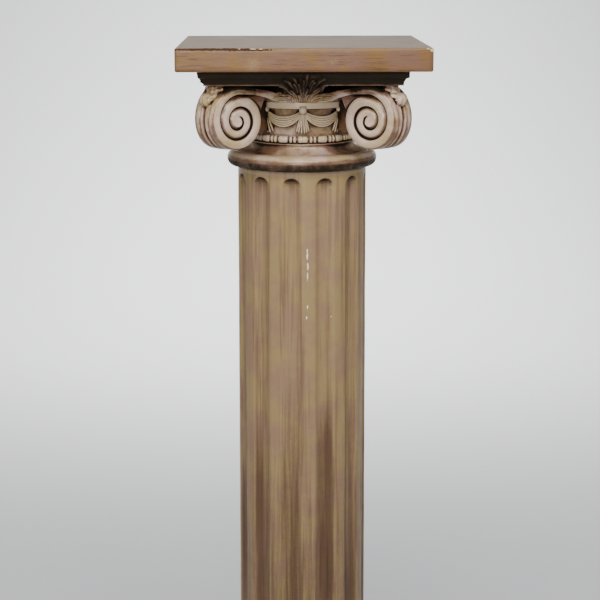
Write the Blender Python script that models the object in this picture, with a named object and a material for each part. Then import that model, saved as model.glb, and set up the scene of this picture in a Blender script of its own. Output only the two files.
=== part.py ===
"""Ionic column pedestal: a square top plate, a carved capital, a fluted shaft and a moulded base.

Each piece is modelled upwards from its own underside, in metres, and set at its height.
The front of the column looks along -Y, and the four sides of the capital repeat by quarter turns.
"""

import math

import bmesh
import bpy
from mathutils import Matrix, Vector

MM = 0.001

# Clearance between two pieces that touch
JOINT = 0.3 * MM

# Top plate
PLATE_SIDE = 305.0 * MM
PLATE_THICKNESS = 28.2 * MM
PLATE_ARRIS = 2.0 * MM

# Abacus of the capital: a fascia over a hollow moulding
ABACUS_SIDE = 253.6 * MM
FASCIA_HEIGHT = 8.6 * MM
ABACUS_HOLLOW_HEIGHT = 9.4 * MM
ABACUS_HOLLOW_DEPTH = 6.5 * MM
ABACUS_HOLLOW_STEPS = 3
ABACUS_CURVE_SHARE = 0.75

# Turned body of the capital, from its underside up
TORUS_HEIGHT = 18.8 * MM
TORUS_PROJECTION = 9.6 * MM
CAVETTO_HEIGHT = 11.3 * MM
CAVETTO_CURVE_SHARE = 0.9
FILLET_HEIGHT = 2.4 * MM
BEAD_HEIGHT = 9.7 * MM
BELL_HEIGHT = 66.4 * MM
BELL_RADIUS = 62.0 * MM
NECK_STEP = 5.0 * MM
RAIL_HEIGHT = 8.6 * MM
RAIL_DROP = 24.0 * MM
RAIL_PROJECTION = 7.5 * MM
TURNED_SEGMENTS = 28

# Bead and reel moulding: one long bead and two thin discs in each period
BEAD_PERIODS = 16
BEAD_PROJECTION = 5.6 * MM
BEAD_GROUND = 2.0 * MM
BEAD_HALF_SHARE = 0.27
DISC_HALF_SHARE = 0.08
DISC_PLACES = (0.4, 0.6)
BEAD_STATIONS = (0.0, 0.25, 0.4, 0.5, 0.6, 0.75)
BEAD_GROUND_HEIGHT_SHARE = 0.6

# Volutes: the eye's place along the slanting face, the disc and its spiral groove
FACE_ANGLE = math.radians(36.4)
FACE_OFFSET = 18.0 * MM
FACE_SETBACK = 4.0 * MM
EYE_RUN = 74.5 * MM
VOLUTE_RADIUS = 34.0 * MM
VOLUTE_RISE = 8.0 * MM
VOLUTE_GAP = 1.0 * MM
VOLUTE_STEPS = 16
VOLUTE_OPEN_TURN = 1.75
VOLUTE_FULL_TURN = 2.0
GROOVE_START = 8.0 * MM
GROOVE_WIDTH = 3.2 * MM
GROOVE_DEPTH = 3.2 * MM
GROOVE_TURNS = 1.71
GROOVE_STEPS_PER_TURN = 9
GROOVE_RUN_OUT = 12.0 * MM
RIM_GROOVE_DEPTH = 2.5 * MM
RIM_ROUNDING = 3.0 * MM
RIM_STATIONS = ((0.0, -RIM_ROUNDING), (0.12, 0.0), (0.3, -RIM_GROOVE_DEPTH), (0.5, 0.0),
                (0.7, -RIM_GROOVE_DEPTH), (0.88, 0.0), (1.0, -RIM_ROUNDING))

# Arm that carries each volute, and the stem that runs from it behind the palmette
ARM_INNER_WIDTH = 10.0 * MM
ARM_OUTER_WIDTH = 36.0 * MM
ARM_DROP = 64.0 * MM
STEM_WIDTH = 10.9 * MM
STEM_UPPER_FALL_SHARE = 0.57
STEM_UPPER_BEND = 1.6
STEM_LOWER_FALL_SHARE = 0.55
STEM_LOWER_BEND = 2.2
STEM_START = 12.0 * MM
STEM_STEPS = 4
STEM_INNER_SHARE = 0.6
STEM_PROJECTION = 0.6 * MM
STEM_OVERLAP = 1.5 * MM

# Palmette in the middle of each side
PALMETTE_HALF_WIDTH = 31.0 * MM
PALMETTE_BLADES = 7
PALMETTE_THICKNESS = 22.0 * MM
PALMETTE_RELIEF = 2.2 * MM
PALMETTE_PROJECTION = 4.2 * MM
PALMETTE_TOP_GAP = 2.5 * MM
PALMETTE_LEVELS = (0.0, 0.35, 0.7, 1.0)
PALMETTE_NOTCH_SHARE = 0.9
PALMETTE_ROOT_SHARE = 0.15
PALMETTE_LOW_SHARE = 0.25
PALMETTE_ROUNDNESS = 0.37

# Leaf over each volute, under the corner of the abacus
LEAF_HALF_WIDTH = 16.0 * MM
LEAF_THICKNESS = 9.0 * MM
LEAF_RELIEF = 4.0 * MM
LEAF_DROP = 24.0 * MM
LEAF_SECTIONS = 5
LEAF_SETBACK = 12.0 * MM
LEAF_HOLLOW = 2.0 * MM
LEAF_NOTCH_SHARE = 0.82
LEAF_END_TAPER = 0.35
LEAF_END_THINNING = 0.6
LEAF_SECTION = ((-1.0, 0.0), (-0.4, 1.0), (0.4, 1.0), (1.0, 0.0))

# Festoons on each front of the bell: three rosettes with tassels, and two hanging swags
FESTOON_SPREAD = math.radians(40.5)
ROSETTE_RADIUS = 4.9 * MM
ROSETTE_SIDES = 6
ROSETTE_FRONT_SHARE = 0.8
ROSETTE_LIFT = 1.5 * MM
ROSETTE_DROP = 1.2 * MM
SWAG_SAG = 14.5 * MM
SWAG_HALF_HEIGHT = 6.8 * MM
SWAG_PROJECTION = 5.5 * MM
SWAG_STEPS = 4
SWAG_END_HEIGHT_SHARE = 0.3
SWAG_END_PROJECTION_SHARE = 0.4
TASSEL_LENGTH = 28.0 * MM
TASSEL_TOP_WIDTH = 9.0 * MM
TASSEL_FOOT_WIDTH = 17.0 * MM
SIDE_TASSEL_FOOT_WIDTH = 8.0 * MM
SIDE_TASSEL_TOP_WIDTH = 6.0 * MM
TASSEL_PROJECTION = 4.5 * MM

# Shaft and its stopped flutes
SHAFT_HEIGHT = 750.3 * MM
SHAFT_TOP_RADIUS = 82.1 * MM
SHAFT_FOOT_RADIUS = 84.1 * MM
SHAFT_SEGMENTS = 36
FLUTES = 12
FLUTE_TURN = math.radians(-10.4)
FLUTE_SHARE = 0.6
FLUTE_DEPTH = 5.5 * MM
FLUTE_TOP_MARGIN = 8.3 * MM
FLUTE_FOOT_MARGIN = 12.0 * MM
FLUTE_SEGMENTS = 20

# Base, from the ground up
PLINTH_SIDE = 240.0 * MM
PLINTH_HEIGHT = 36.0 * MM
PLINTH_ARRIS = 2.0 * MM
LOWER_TORUS_HEIGHT = 26.0 * MM
LOWER_TORUS_MARGIN = 3.0 * MM
BASE_FILLET_HEIGHT = 3.0 * MM
SCOTIA_HEIGHT = 16.0 * MM
SCOTIA_DEPTH = 7.0 * MM
UPPER_TORUS_HEIGHT = 18.0 * MM
UPPER_TORUS_PROJECTION = 16.0 * MM
LOWER_FILLET_INSET_SHARE = 0.7
UPPER_FILLET_INSET_SHARE = 0.5
BASE_TOP_FILLET_HEIGHT = 8.0 * MM
BASE_TOP_FILLET_STEP = 5.0 * MM
ARC_STEPS = 4

# Levels worked out from the heights
CAVETTO_FOOT = TORUS_HEIGHT
FILLET_FOOT = CAVETTO_FOOT + CAVETTO_HEIGHT
BEAD_FOOT = FILLET_FOOT + FILLET_HEIGHT
BELL_FOOT = BEAD_FOOT + BEAD_HEIGHT
BELL_TOP = BELL_FOOT + BELL_HEIGHT
FASCIA_FOOT = BELL_TOP + ABACUS_HOLLOW_HEIGHT
CAPITAL_HEIGHT = FASCIA_FOOT + FASCIA_HEIGHT
RAIL_TOP = BELL_TOP - RAIL_DROP
RAIL_FOOT = RAIL_TOP - RAIL_HEIGHT
RAIL_RADIUS = BELL_RADIUS + RAIL_PROJECTION
EYE_LEVEL = BELL_TOP - VOLUTE_GAP - VOLUTE_RISE - VOLUTE_RADIUS
TORUS_RADIUS = SHAFT_TOP_RADIUS + TORUS_PROJECTION / 2
FACE_START = Vector((FACE_OFFSET, -(BELL_RADIUS + FACE_SETBACK)))
FACE_DIRECTION = Vector((math.cos(FACE_ANGLE), -math.sin(FACE_ANGLE)))
FACE_OUTWARD = Vector((-math.sin(FACE_ANGLE), -math.cos(FACE_ANGLE), 0.0))
BASE_HEIGHT = (PLINTH_HEIGHT + LOWER_TORUS_HEIGHT + 2 * BASE_FILLET_HEIGHT + SCOTIA_HEIGHT
               + UPPER_TORUS_HEIGHT + BASE_TOP_FILLET_HEIGHT)
SHAFT_LEVEL = BASE_HEIGHT + JOINT
CAPITAL_LEVEL = SHAFT_LEVEL + SHAFT_HEIGHT + JOINT
PLATE_LEVEL = CAPITAL_LEVEL + CAPITAL_HEIGHT + JOINT

# Where a part of the capital is sunk into its neighbour, so that the two make one casting
SINK = 4.0 * MM


def clear_scene():
    """Remove whatever the scene holds."""
    for old in list(bpy.data.objects):
        bpy.data.objects.remove(old, do_unlink=True)


def paint(name, colour, roughness):
    """Return a plain painted material."""
    material = bpy.data.materials.new(name)
    material.use_nodes = True
    shader = material.node_tree.nodes["Principled BSDF"]
    shader.inputs["Base Color"].default_value = (*colour, 1.0)
    shader.inputs["Roughness"].default_value = roughness
    shader.inputs["Metallic"].default_value = 0.0
    return material


def add_object(name, bm, level=0.0, material=None):
    """Turn a bmesh into an object that stands at a level."""
    bmesh.ops.recalc_face_normals(bm, faces=bm.faces)
    mesh = bpy.data.meshes.new(name)
    bm.to_mesh(mesh)
    bm.free()
    piece = bpy.data.objects.new(name, mesh)
    bpy.context.scene.collection.objects.link(piece)
    piece.location.z = level
    if material:
        mesh.materials.append(material)
        mesh.shade_smooth()
        mesh.set_sharp_from_angle(angle=math.radians(35.0))
    return piece


def boolean(piece, other, operation):
    """Join another shape to a piece, or cut it out of the piece."""
    other.hide_render = True
    other.display_type = "WIRE"
    step = piece.modifiers.new(other.name, "BOOLEAN")
    step.operation = operation
    step.solver = "EXACT"
    step.object = other


def fuse(piece, name, shapes):
    """Join several shapes, which may overlap each other, to a piece in one step."""
    group = bpy.data.collections.new(name)
    for shape in shapes:
        shape.hide_render = True
        shape.display_type = "WIRE"
        group.objects.link(shape)
    step = piece.modifiers.new(name, "BOOLEAN")
    step.operation = "UNION"
    step.solver = "EXACT"
    step.use_self = True
    step.operand_type = "COLLECTION"
    step.collection = group


def loft(bm, rings):
    """Skin closed rings of equal length, one after the other, and cap both ends."""
    rows = [[bm.verts.new(point) for point in ring] for ring in rings]
    count = len(rows[0])
    for low, high in zip(rows, rows[1:]):
        for i in range(count):
            j = (i + 1) % count
            bm.faces.new((low[i], low[j], high[j], high[i]))
    bm.faces.new(rows[0][::-1])
    bm.faces.new(rows[-1])


def turned(bm, profile, segments):
    """Spin a profile of (radius, height) pairs, both ends on the axis, into a closed body."""
    line = [bm.verts.new((radius, 0.0, height)) for radius, height in profile]
    edges = [bm.edges.new(pair) for pair in zip(line, line[1:])]
    bmesh.ops.spin(bm, geom=line + edges, cent=(0, 0, 0), axis=(0, 0, 1), angle=math.tau,
                   steps=segments, use_merge=True)
    bmesh.ops.remove_doubles(bm, verts=bm.verts, dist=0.001 * MM)


def arc(centre, radii, start, end, steps):
    """Return points on an ellipse's arc, as (radius, height) pairs; angles in degrees."""
    points = []
    for i in range(steps + 1):
        angle = math.radians(start + (end - start) * i / steps)
        points.append((centre[0] + radii[0] * math.cos(angle), centre[1] + radii[1] * math.sin(angle)))
    return points


def square_ring(half, level):
    """Return the corners of a level square."""
    return [Vector((half * sx, half * sy, level)) for sx, sy in ((1, 1), (-1, 1), (-1, -1), (1, -1))]


def quarter_turns(shapes):
    """Copy every shape in a bmesh to the four sides."""
    source = shapes.verts[:] + shapes.edges[:] + shapes.faces[:]
    for quarter in range(1, 4):
        copy = bmesh.ops.duplicate(shapes, geom=source)["geom"]
        verts = [item for item in copy if isinstance(item, bmesh.types.BMVert)]
        bmesh.ops.rotate(shapes, verts=verts, cent=(0, 0, 0),
                         matrix=Matrix.Rotation(quarter * math.pi / 2, 3, "Z"))


def across_diagonal(point):
    """Mirror a point of the front half across the corner's upright diagonal plane."""
    return Vector((-point.y, -point.x, point.z))


def face_point(run, level):
    """Return the point on the slanting front face at a run from the palmette and a level."""
    plan = FACE_START + FACE_DIRECTION * run
    return Vector((plan.x, plan.y, level))


def spiral_radius(turns):
    """Return the radius of the spiral groove after a number of turns."""
    return GROOVE_START + (VOLUTE_RADIUS - GROOVE_START) * turns / VOLUTE_FULL_TURN


def rim_radius(turns):
    """Return the radius of the volute's rim, which grows towards its top."""
    if turns < VOLUTE_FULL_TURN:
        return spiral_radius(turns)
    share = (turns - VOLUTE_FULL_TURN) / (VOLUTE_OPEN_TURN + 1 - VOLUTE_FULL_TURN)
    return VOLUTE_RADIUS + VOLUTE_RISE * share ** 2


def volute_point(turns, radius):
    """Return a point on the volute's face; no turns points inward, a quarter down, a half outward."""
    angle = turns * math.tau
    return face_point(EYE_RUN - radius * math.cos(angle), EYE_LEVEL - radius * math.sin(angle))


def volute(bm):
    """Add the block between the two spiral faces of a corner, with its channelled rim."""
    turns = [VOLUTE_OPEN_TURN + i / VOLUTE_STEPS for i in range(VOLUTE_STEPS + 1)]
    rings = []
    for share, change in RIM_STATIONS:
        ring = []
        for turn in turns:
            front = volute_point(turn, rim_radius(turn) + change)
            ring.append(front.lerp(across_diagonal(front), share))
        rings.append(ring)
    loft(bm, rings)


def arm(bm):
    """Add the arm along the diagonal that joins a volute to the bell and widens outwards."""
    along = Vector((1, -1, 0)).normalized()
    aside = Vector((1, 1, 0)).normalized()
    end = face_point(EYE_RUN, 0.0)
    reach = end.dot(along)
    rings = []
    for distance, width in ((BELL_RADIUS - SINK, ARM_INNER_WIDTH), (reach, ARM_OUTER_WIDTH)):
        centre = along * distance
        ring = []
        for side, level in ((-1, BELL_TOP + SINK), (1, BELL_TOP + SINK), (1, BELL_TOP - ARM_DROP),
                            (-1, BELL_TOP - ARM_DROP)):
            ring.append(centre + aside * side * width / 2 + Vector((0, 0, level)))
        rings.append(ring)
    loft(bm, rings)


def stem(bm, mirrored):
    """Add the band that sweeps from the top of a volute down to the rail behind the palmette."""
    top = EYE_LEVEL + VOLUTE_RADIUS + VOLUTE_RISE
    end = EYE_RUN + STEM_OVERLAP
    drop = top - RAIL_TOP
    rings = []
    for i in range(STEM_STEPS + 1):
        run = STEM_START + (end - STEM_START) * i / STEM_STEPS
        share = max(0.0, (EYE_RUN - run) / (EYE_RUN - STEM_START))
        upper = top - drop * STEM_UPPER_FALL_SHARE * share ** STEM_UPPER_BEND
        lower = top - STEM_WIDTH - drop * STEM_LOWER_FALL_SHARE * share ** STEM_LOWER_BEND
        lower = max(lower, RAIL_TOP - SINK)
        ring = []
        for level, inward in ((upper, 1.0), (lower, 1.0), (lower, STEM_INNER_SHARE),
                              (upper, STEM_INNER_SHARE)):
            point = face_point(run, level) + FACE_OUTWARD * STEM_PROJECTION
            point.x *= inward
            point.y *= inward
            ring.append(across_diagonal(point) if mirrored else point)
        rings.append(ring)
    loft(bm, rings)


def palmette_spine(share):
    """Return (distance in front of the axis, level) and the inward normal on the palmette's spine."""
    front = ABACUS_SIDE / 2 + PALMETTE_PROJECTION
    control = (Vector((RAIL_RADIUS, RAIL_TOP)),
               Vector((RAIL_RADIUS + SINK, BELL_TOP - SINK)),
               Vector((front, RAIL_TOP + SINK)),
               Vector((front, CAPITAL_HEIGHT - PALMETTE_TOP_GAP)))
    rest = 1 - share
    point = (control[0] * rest ** 3 + control[1] * 3 * rest ** 2 * share
             + control[2] * 3 * rest * share ** 2 + control[3] * share ** 3)
    slope = ((control[1] - control[0]) * rest ** 2 + (control[2] - control[1]) * 2 * rest * share
             + (control[3] - control[2]) * share ** 2).normalized()
    return point, Vector((-slope.y, slope.x))


def palmette(bm):
    """Add the fan of blades that rises from the rail and leans out in front of the abacus."""
    rays = 2 * (PALMETTE_BLADES - 1) + 1
    rings = []
    for share in PALMETTE_LEVELS:
        front = []
        back = []
        for ray in range(rays):
            angle = math.pi * (ray / (rays - 1) - 0.5)
            crest = ray % 2 == 0
            reach = share if crest else share * PALMETTE_NOTCH_SHARE
            spread = PALMETTE_ROOT_SHARE + (1 - PALMETTE_ROOT_SHARE) * reach
            aside = PALMETTE_HALF_WIDTH * math.sin(angle) * spread
            arch = max(0.0, math.cos(angle)) ** PALMETTE_ROUNDNESS
            height = (PALMETTE_LOW_SHARE + (1 - PALMETTE_LOW_SHARE) * arch) * reach
            spine, inward = palmette_spine(height)
            relief = PALMETTE_RELIEF * share if crest else 0.0
            near = spine - inward * relief
            far = spine + inward * PALMETTE_THICKNESS
            front.append(Vector((aside, -near.x, near.y)))
            back.append(Vector((aside, -far.x, min(far.y, FASCIA_FOOT))))
        rings.append(front + back[::-1])
    grid = [[bm.verts.new(point) for point in ring] for ring in rings]
    count = len(grid[0])
    for low, high in zip(grid, grid[1:]):
        for i in range(count):
            j = (i + 1) % count
            bm.faces.new((low[i], low[j], high[j], high[i]))
    for row in (grid[0], grid[-1]):
        for i in range(rays - 1):
            bm.faces.new((row[i], row[i + 1], row[count - 2 - i], row[count - 1 - i]))


def leaf(bm):
    """Add the leaf that hangs from under the abacus corner and curls out over the volute."""
    along = Vector((1, -1, 0)).normalized()
    aside = Vector((1, 1, 0)).normalized()
    outward_turn = VOLUTE_FULL_TURN + 0.5
    rim = volute_point(outward_turn, rim_radius(outward_turn)).dot(along)
    rings = []
    for i in range(LEAF_SECTIONS):
        share = i / (LEAF_SECTIONS - 1)
        level = BELL_TOP + SINK - (LEAF_DROP + SINK) * share
        bulge = math.sin(math.pi * share)
        distance = rim - LEAF_SETBACK + LEAF_SETBACK * share ** 2 - LEAF_HOLLOW * bulge
        lobe = 1.0 if i % 2 == 0 else LEAF_NOTCH_SHARE
        half = LEAF_HALF_WIDTH * lobe * (1.0 - LEAF_END_TAPER * share ** 4)
        thickness = LEAF_THICKNESS * (1.0 - LEAF_END_THINNING * share)
        centre = Vector((0, 0, level))
        ring = []
        for side, out in LEAF_SECTION:
            ring.append(centre + along * (distance + LEAF_RELIEF * out) + aside * side * half)
        ring.append(centre + along * (distance - thickness))
        rings.append(ring)
    loft(bm, rings)


def on_bell(angle, radius, level):
    """Return the point at an angle from the front, turning towards +X."""
    return Vector((radius * math.sin(angle), -radius * math.cos(angle), level))


def rosette(bm, angle, level):
    """Add a rosette at an angle from the front."""
    rings = []
    for radius, size in ((BELL_RADIUS - SINK, 1.0), (RAIL_RADIUS + ROSETTE_LIFT, ROSETTE_FRONT_SHARE)):
        ring = []
        for step in range(ROSETTE_SIDES):
            turn = math.tau * (step + 0.5) / ROSETTE_SIDES
            ring.append(on_bell(angle + ROSETTE_RADIUS / BELL_RADIUS * size * math.cos(turn), radius,
                                level + ROSETTE_RADIUS * size * math.sin(turn)))
        rings.append(ring)
    loft(bm, rings)


def tassel(bm, angle, level, top_width, foot_width):
    """Add the tassel that hangs under a rosette and fans out to its foot."""
    inner = BELL_RADIUS - SINK
    crest = BELL_RADIUS + TASSEL_PROJECTION
    rings = []
    for width, drop in ((top_width, level), (foot_width, level - TASSEL_LENGTH)):
        half = width / 2 / BELL_RADIUS
        rings.append([on_bell(angle - half, inner, drop), on_bell(angle - half / 2, crest, drop),
                      on_bell(angle + half / 2, crest, drop), on_bell(angle + half, inner, drop)])
    loft(bm, rings)


def swag(bm, side, level):
    """Add the swag that hangs from the middle rosette to a side one."""
    inner = BELL_RADIUS - SINK
    rings = []
    for step in range(SWAG_STEPS + 1):
        share = step / SWAG_STEPS
        belly = 4 * share * (1 - share)
        centre = level - SWAG_SAG * belly
        half = SWAG_HALF_HEIGHT * (SWAG_END_HEIGHT_SHARE + (1 - SWAG_END_HEIGHT_SHARE) * belly)
        reach = SWAG_END_PROJECTION_SHARE + (1 - SWAG_END_PROJECTION_SHARE) * belly
        crest = BELL_RADIUS + SWAG_PROJECTION * reach
        angle = side * FESTOON_SPREAD * share
        rings.append([on_bell(angle, inner, centre + half), on_bell(angle, crest, centre + half / 2),
                      on_bell(angle, crest, centre - half / 2), on_bell(angle, inner, centre - half)])
    loft(bm, rings)


def festoons(bm):
    """Add the rosettes, tassels and swags of one front."""
    level = RAIL_FOOT - ROSETTE_DROP
    rosette(bm, 0.0, level)
    tassel(bm, 0.0, level, TASSEL_TOP_WIDTH, TASSEL_FOOT_WIDTH)
    for side in (-1, 1):
        rosette(bm, side * FESTOON_SPREAD, level)
        tassel(bm, side * FESTOON_SPREAD, level, SIDE_TASSEL_TOP_WIDTH, SIDE_TASSEL_FOOT_WIDTH)
        swag(bm, side, level)


def bead_height(share):
    """Return how far the bead and reel stands out at a share of its period, from 0 to 1."""
    humps = [(0.0, BEAD_HALF_SHARE), (1.0, BEAD_HALF_SHARE)]
    humps += [(place, DISC_HALF_SHARE) for place in DISC_PLACES]
    for centre, half in humps:
        offset = abs(share - centre) / half
        if offset < 1:
            return math.sqrt(1 - offset ** 2)
    return 0.0


def bead_row(bm):
    """Add the bead and reel moulding as one ring round the neck."""
    middle = BEAD_FOOT + BEAD_HEIGHT / 2
    inner = BELL_RADIUS - SINK
    rows = []
    for period in range(BEAD_PERIODS):
        for share in BEAD_STATIONS:
            angle = math.tau * (period + share) / BEAD_PERIODS
            rise = bead_height(share)
            radius = BELL_RADIUS + BEAD_GROUND + (BEAD_PROJECTION - BEAD_GROUND) * rise
            half = BEAD_HEIGHT / 2 * (BEAD_GROUND_HEIGHT_SHARE + (1 - BEAD_GROUND_HEIGHT_SHARE) * rise)
            row = [on_bell(angle, inner, middle + half), on_bell(angle, radius, middle + half / 2),
                   on_bell(angle, radius, middle - half / 2), on_bell(angle, inner, middle - half)]
            rows.append([bm.verts.new(point) for point in row])
    for i, low in enumerate(rows):
        high = rows[(i + 1) % len(rows)]
        for a in range(4):
            b = (a + 1) % 4
            bm.faces.new((low[a], low[b], high[b], high[a]))


def groove_path():
    """Return the spiral groove's centre line on a volute's face, from the eye to the stem."""
    steps = round(GROOVE_TURNS * GROOVE_STEPS_PER_TURN)
    path = []
    for step in range(steps + 1):
        turn = GROOVE_TURNS * step / steps
        path.append(volute_point(turn, spiral_radius(turn)))
    path.append(face_point(EYE_RUN - GROOVE_RUN_OUT, path[-1].z + GROOVE_WIDTH / 3))
    return path


def groove(bm, mirrored):
    """Add the V-shaped cutter of one spiral groove."""
    path = groove_path()
    rings = []
    for i, point in enumerate(path):
        tangent = (path[min(i + 1, len(path) - 1)] - path[max(i - 1, 0)]).normalized()
        side = tangent.cross(FACE_OUTWARD).normalized() * GROOVE_WIDTH
        ring = [point + FACE_OUTWARD * SINK + side, point + FACE_OUTWARD * SINK - side,
                point - FACE_OUTWARD * GROOVE_DEPTH]
        rings.append([across_diagonal(corner) for corner in ring] if mirrored else ring)
    loft(bm, rings)


def capital_body():
    """Return the turned body of the capital: torus, cavetto, neck, bell and rail."""
    half = TORUS_HEIGHT / 2
    neck = BELL_RADIUS + NECK_STEP
    profile = [(0.0, 0.0)]
    profile += arc((TORUS_RADIUS, half), (TORUS_PROJECTION, half), -90, 90, ARC_STEPS + 1)
    cavetto = (TORUS_RADIUS - neck, CAVETTO_HEIGHT * CAVETTO_CURVE_SHARE)
    profile += arc((TORUS_RADIUS, FILLET_FOOT), cavetto, 270, 180, ARC_STEPS)
    profile += [(neck, BEAD_FOOT), (BELL_RADIUS, BEAD_FOOT), (BELL_RADIUS, RAIL_FOOT),
                (RAIL_RADIUS, RAIL_FOOT), (RAIL_RADIUS, RAIL_TOP), (BELL_RADIUS, RAIL_TOP),
                (BELL_RADIUS, BELL_TOP + SINK), (0.0, BELL_TOP + SINK)]
    bm = bmesh.new()
    turned(bm, profile, TURNED_SEGMENTS)
    return bm


def abacus(bm):
    """Add the square abacus: a straight fascia over a hollow moulding."""
    half = ABACUS_SIDE / 2
    rings = [square_ring(half, CAPITAL_HEIGHT), square_ring(half, FASCIA_FOOT)]
    hollow = (ABACUS_HOLLOW_DEPTH, ABACUS_HOLLOW_HEIGHT * ABACUS_CURVE_SHARE)
    for x, z in arc((half, BELL_TOP), hollow, 90, 180, ABACUS_HOLLOW_STEPS):
        rings.append(square_ring(x, z))
    loft(bm, rings)


def build_capital(material):
    """Build the capital as one casting."""
    piece = add_object("capital", capital_body(), CAPITAL_LEVEL, material)

    blocks = bmesh.new()
    volute(blocks)
    quarter_turns(blocks)
    volutes = add_object("volutes", blocks, CAPITAL_LEVEL)
    grooves = bmesh.new()
    groove(grooves, False)
    groove(grooves, True)
    quarter_turns(grooves)
    boolean(volutes, add_object("volute_grooves", grooves, CAPITAL_LEVEL), "DIFFERENCE")

    sides = bmesh.new()
    arm(sides)
    stem(sides, False)
    stem(sides, True)
    palmette(sides)
    leaf(sides)
    festoons(sides)
    quarter_turns(sides)
    abacus(sides)
    bead_row(sides)
    carving = add_object("capital_carving", sides, CAPITAL_LEVEL)
    fuse(piece, "capital_carved_parts", (volutes, carving))
    return piece


def build_plate(material):
    """Build the square top plate with its softened arrises."""
    bm = bmesh.new()
    loft(bm, [square_ring(PLATE_SIDE / 2, PLATE_THICKNESS), square_ring(PLATE_SIDE / 2, 0.0)])
    bmesh.ops.bevel(bm, geom=bm.edges[:], offset=PLATE_ARRIS, offset_type="OFFSET", segments=2,
                    profile=0.5, affect="EDGES", material=-1)
    return add_object("top_plate", bm, PLATE_LEVEL, material)


def build_shaft(material):
    """Build the tapered shaft and cut its round-headed flutes."""
    bm = bmesh.new()
    turned(bm, [(0.0, 0.0), (SHAFT_FOOT_RADIUS, 0.0), (SHAFT_TOP_RADIUS, SHAFT_HEIGHT), (0.0, SHAFT_HEIGHT)],
           SHAFT_SEGMENTS)
    bmesh.ops.rotate(bm, verts=bm.verts, cent=(0, 0, 0), matrix=Matrix.Rotation(FLUTE_TURN, 3, "Z"))
    piece = add_object("shaft", bm, SHAFT_LEVEL, material)

    half_chord = SHAFT_TOP_RADIUS * math.sin(FLUTE_SHARE * math.pi / FLUTES)
    radius = (half_chord ** 2 + FLUTE_DEPTH ** 2) / (2 * FLUTE_DEPTH)
    stand_off = radius - FLUTE_DEPTH
    cutters = bmesh.new()
    for flute in range(FLUTES):
        turn = FLUTE_TURN + math.tau * flute / FLUTES
        low = on_bell(turn, SHAFT_FOOT_RADIUS + stand_off, FLUTE_FOOT_MARGIN + half_chord)
        high = on_bell(turn, SHAFT_TOP_RADIUS + stand_off, SHAFT_HEIGHT - FLUTE_TOP_MARGIN - half_chord)
        flute_cutter(cutters, low, high, radius, turn)
    boolean(piece, add_object("flute_cutters", cutters, SHAFT_LEVEL), "DIFFERENCE")
    return piece


def flute_cutter(bm, low, high, radius, turn):
    """Add a round bar with ball ends from one point to another."""
    across = Vector((math.cos(turn), math.sin(turn), 0))
    axis = (high - low).normalized()
    out = across.cross(axis)
    quarter = FLUTE_SEGMENTS // 4
    rows = []
    for centre, first in ((low, -quarter), (high, 0)):
        for step in range(quarter):
            tilt = math.pi / 2 * (first + step + (1 if first < 0 else 0)) / quarter
            size = radius * math.cos(tilt)
            rise = axis * radius * math.sin(tilt)
            ring = []
            for segment in range(FLUTE_SEGMENTS):
                angle = math.tau * (segment + 0.5) / FLUTE_SEGMENTS
                ring.append(centre + rise + (across * math.cos(angle) + out * math.sin(angle)) * size)
            rows.append(ring)
    loft(bm, rows)


def build_base(material):
    """Build the base: a square plinth under two tori with a scotia between them."""
    lower_radius = PLINTH_SIDE / 2 - LOWER_TORUS_MARGIN
    top_radius = SHAFT_FOOT_RADIUS + BASE_TOP_FILLET_STEP
    upper_radius = SHAFT_FOOT_RADIUS + UPPER_TORUS_PROJECTION
    half_lower = LOWER_TORUS_HEIGHT / 2
    half_upper = UPPER_TORUS_HEIGHT / 2
    lower_fillet = lower_radius - half_lower * LOWER_FILLET_INSET_SHARE
    upper_fillet = upper_radius - half_upper * UPPER_FILLET_INSET_SHARE
    torus_top = PLINTH_HEIGHT + LOWER_TORUS_HEIGHT
    scotia_foot = torus_top + BASE_FILLET_HEIGHT
    scotia_top = scotia_foot + SCOTIA_HEIGHT
    upper_foot = scotia_top + BASE_FILLET_HEIGHT
    upper_top = upper_foot + UPPER_TORUS_HEIGHT
    profile = [(0.0, PLINTH_HEIGHT - SINK), (lower_radius - half_lower, PLINTH_HEIGHT - SINK)]
    profile += arc((lower_radius - half_lower, PLINTH_HEIGHT + half_lower), (half_lower, half_lower),
                   -90, 90, ARC_STEPS)
    profile += [(lower_fillet, torus_top), (lower_fillet, scotia_foot)]
    for step in range(1, ARC_STEPS):
        share = step / ARC_STEPS
        radius = lower_fillet + (upper_fillet - lower_fillet) * share
        profile.append((radius - SCOTIA_DEPTH * math.sin(math.pi * share), scotia_foot + SCOTIA_HEIGHT * share))
    profile += [(upper_fillet, scotia_top), (upper_fillet, upper_foot)]
    profile += arc((upper_radius - half_upper, upper_foot + half_upper), (half_upper, half_upper),
                   -90, 90, ARC_STEPS)
    profile += [(top_radius, upper_top), (top_radius, BASE_HEIGHT), (0.0, BASE_HEIGHT)]
    bm = bmesh.new()
    turned(bm, profile, TURNED_SEGMENTS)
    piece = add_object("base", bm, 0.0, material)

    slab = bmesh.new()
    loft(slab, [square_ring(PLINTH_SIDE / 2, PLINTH_HEIGHT), square_ring(PLINTH_SIDE / 2, 0.0)])
    bmesh.ops.bevel(slab, geom=slab.edges[:], offset=PLINTH_ARRIS, offset_type="OFFSET", segments=2,
                    profile=0.5, affect="EDGES", material=-1)
    boolean(piece, add_object("plinth", slab), "UNION")
    return piece


def main():
    """Build the four pieces."""
    clear_scene()
    build_base(paint("base_paint", (0.33, 0.27, 0.19), 0.45))
    build_shaft(paint("shaft_paint", (0.36, 0.30, 0.21), 0.42))
    build_capital(paint("capital_paint", (0.42, 0.34, 0.26), 0.40))
    build_plate(paint("plate_paint", (0.36, 0.29, 0.19), 0.48))


main()
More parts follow.
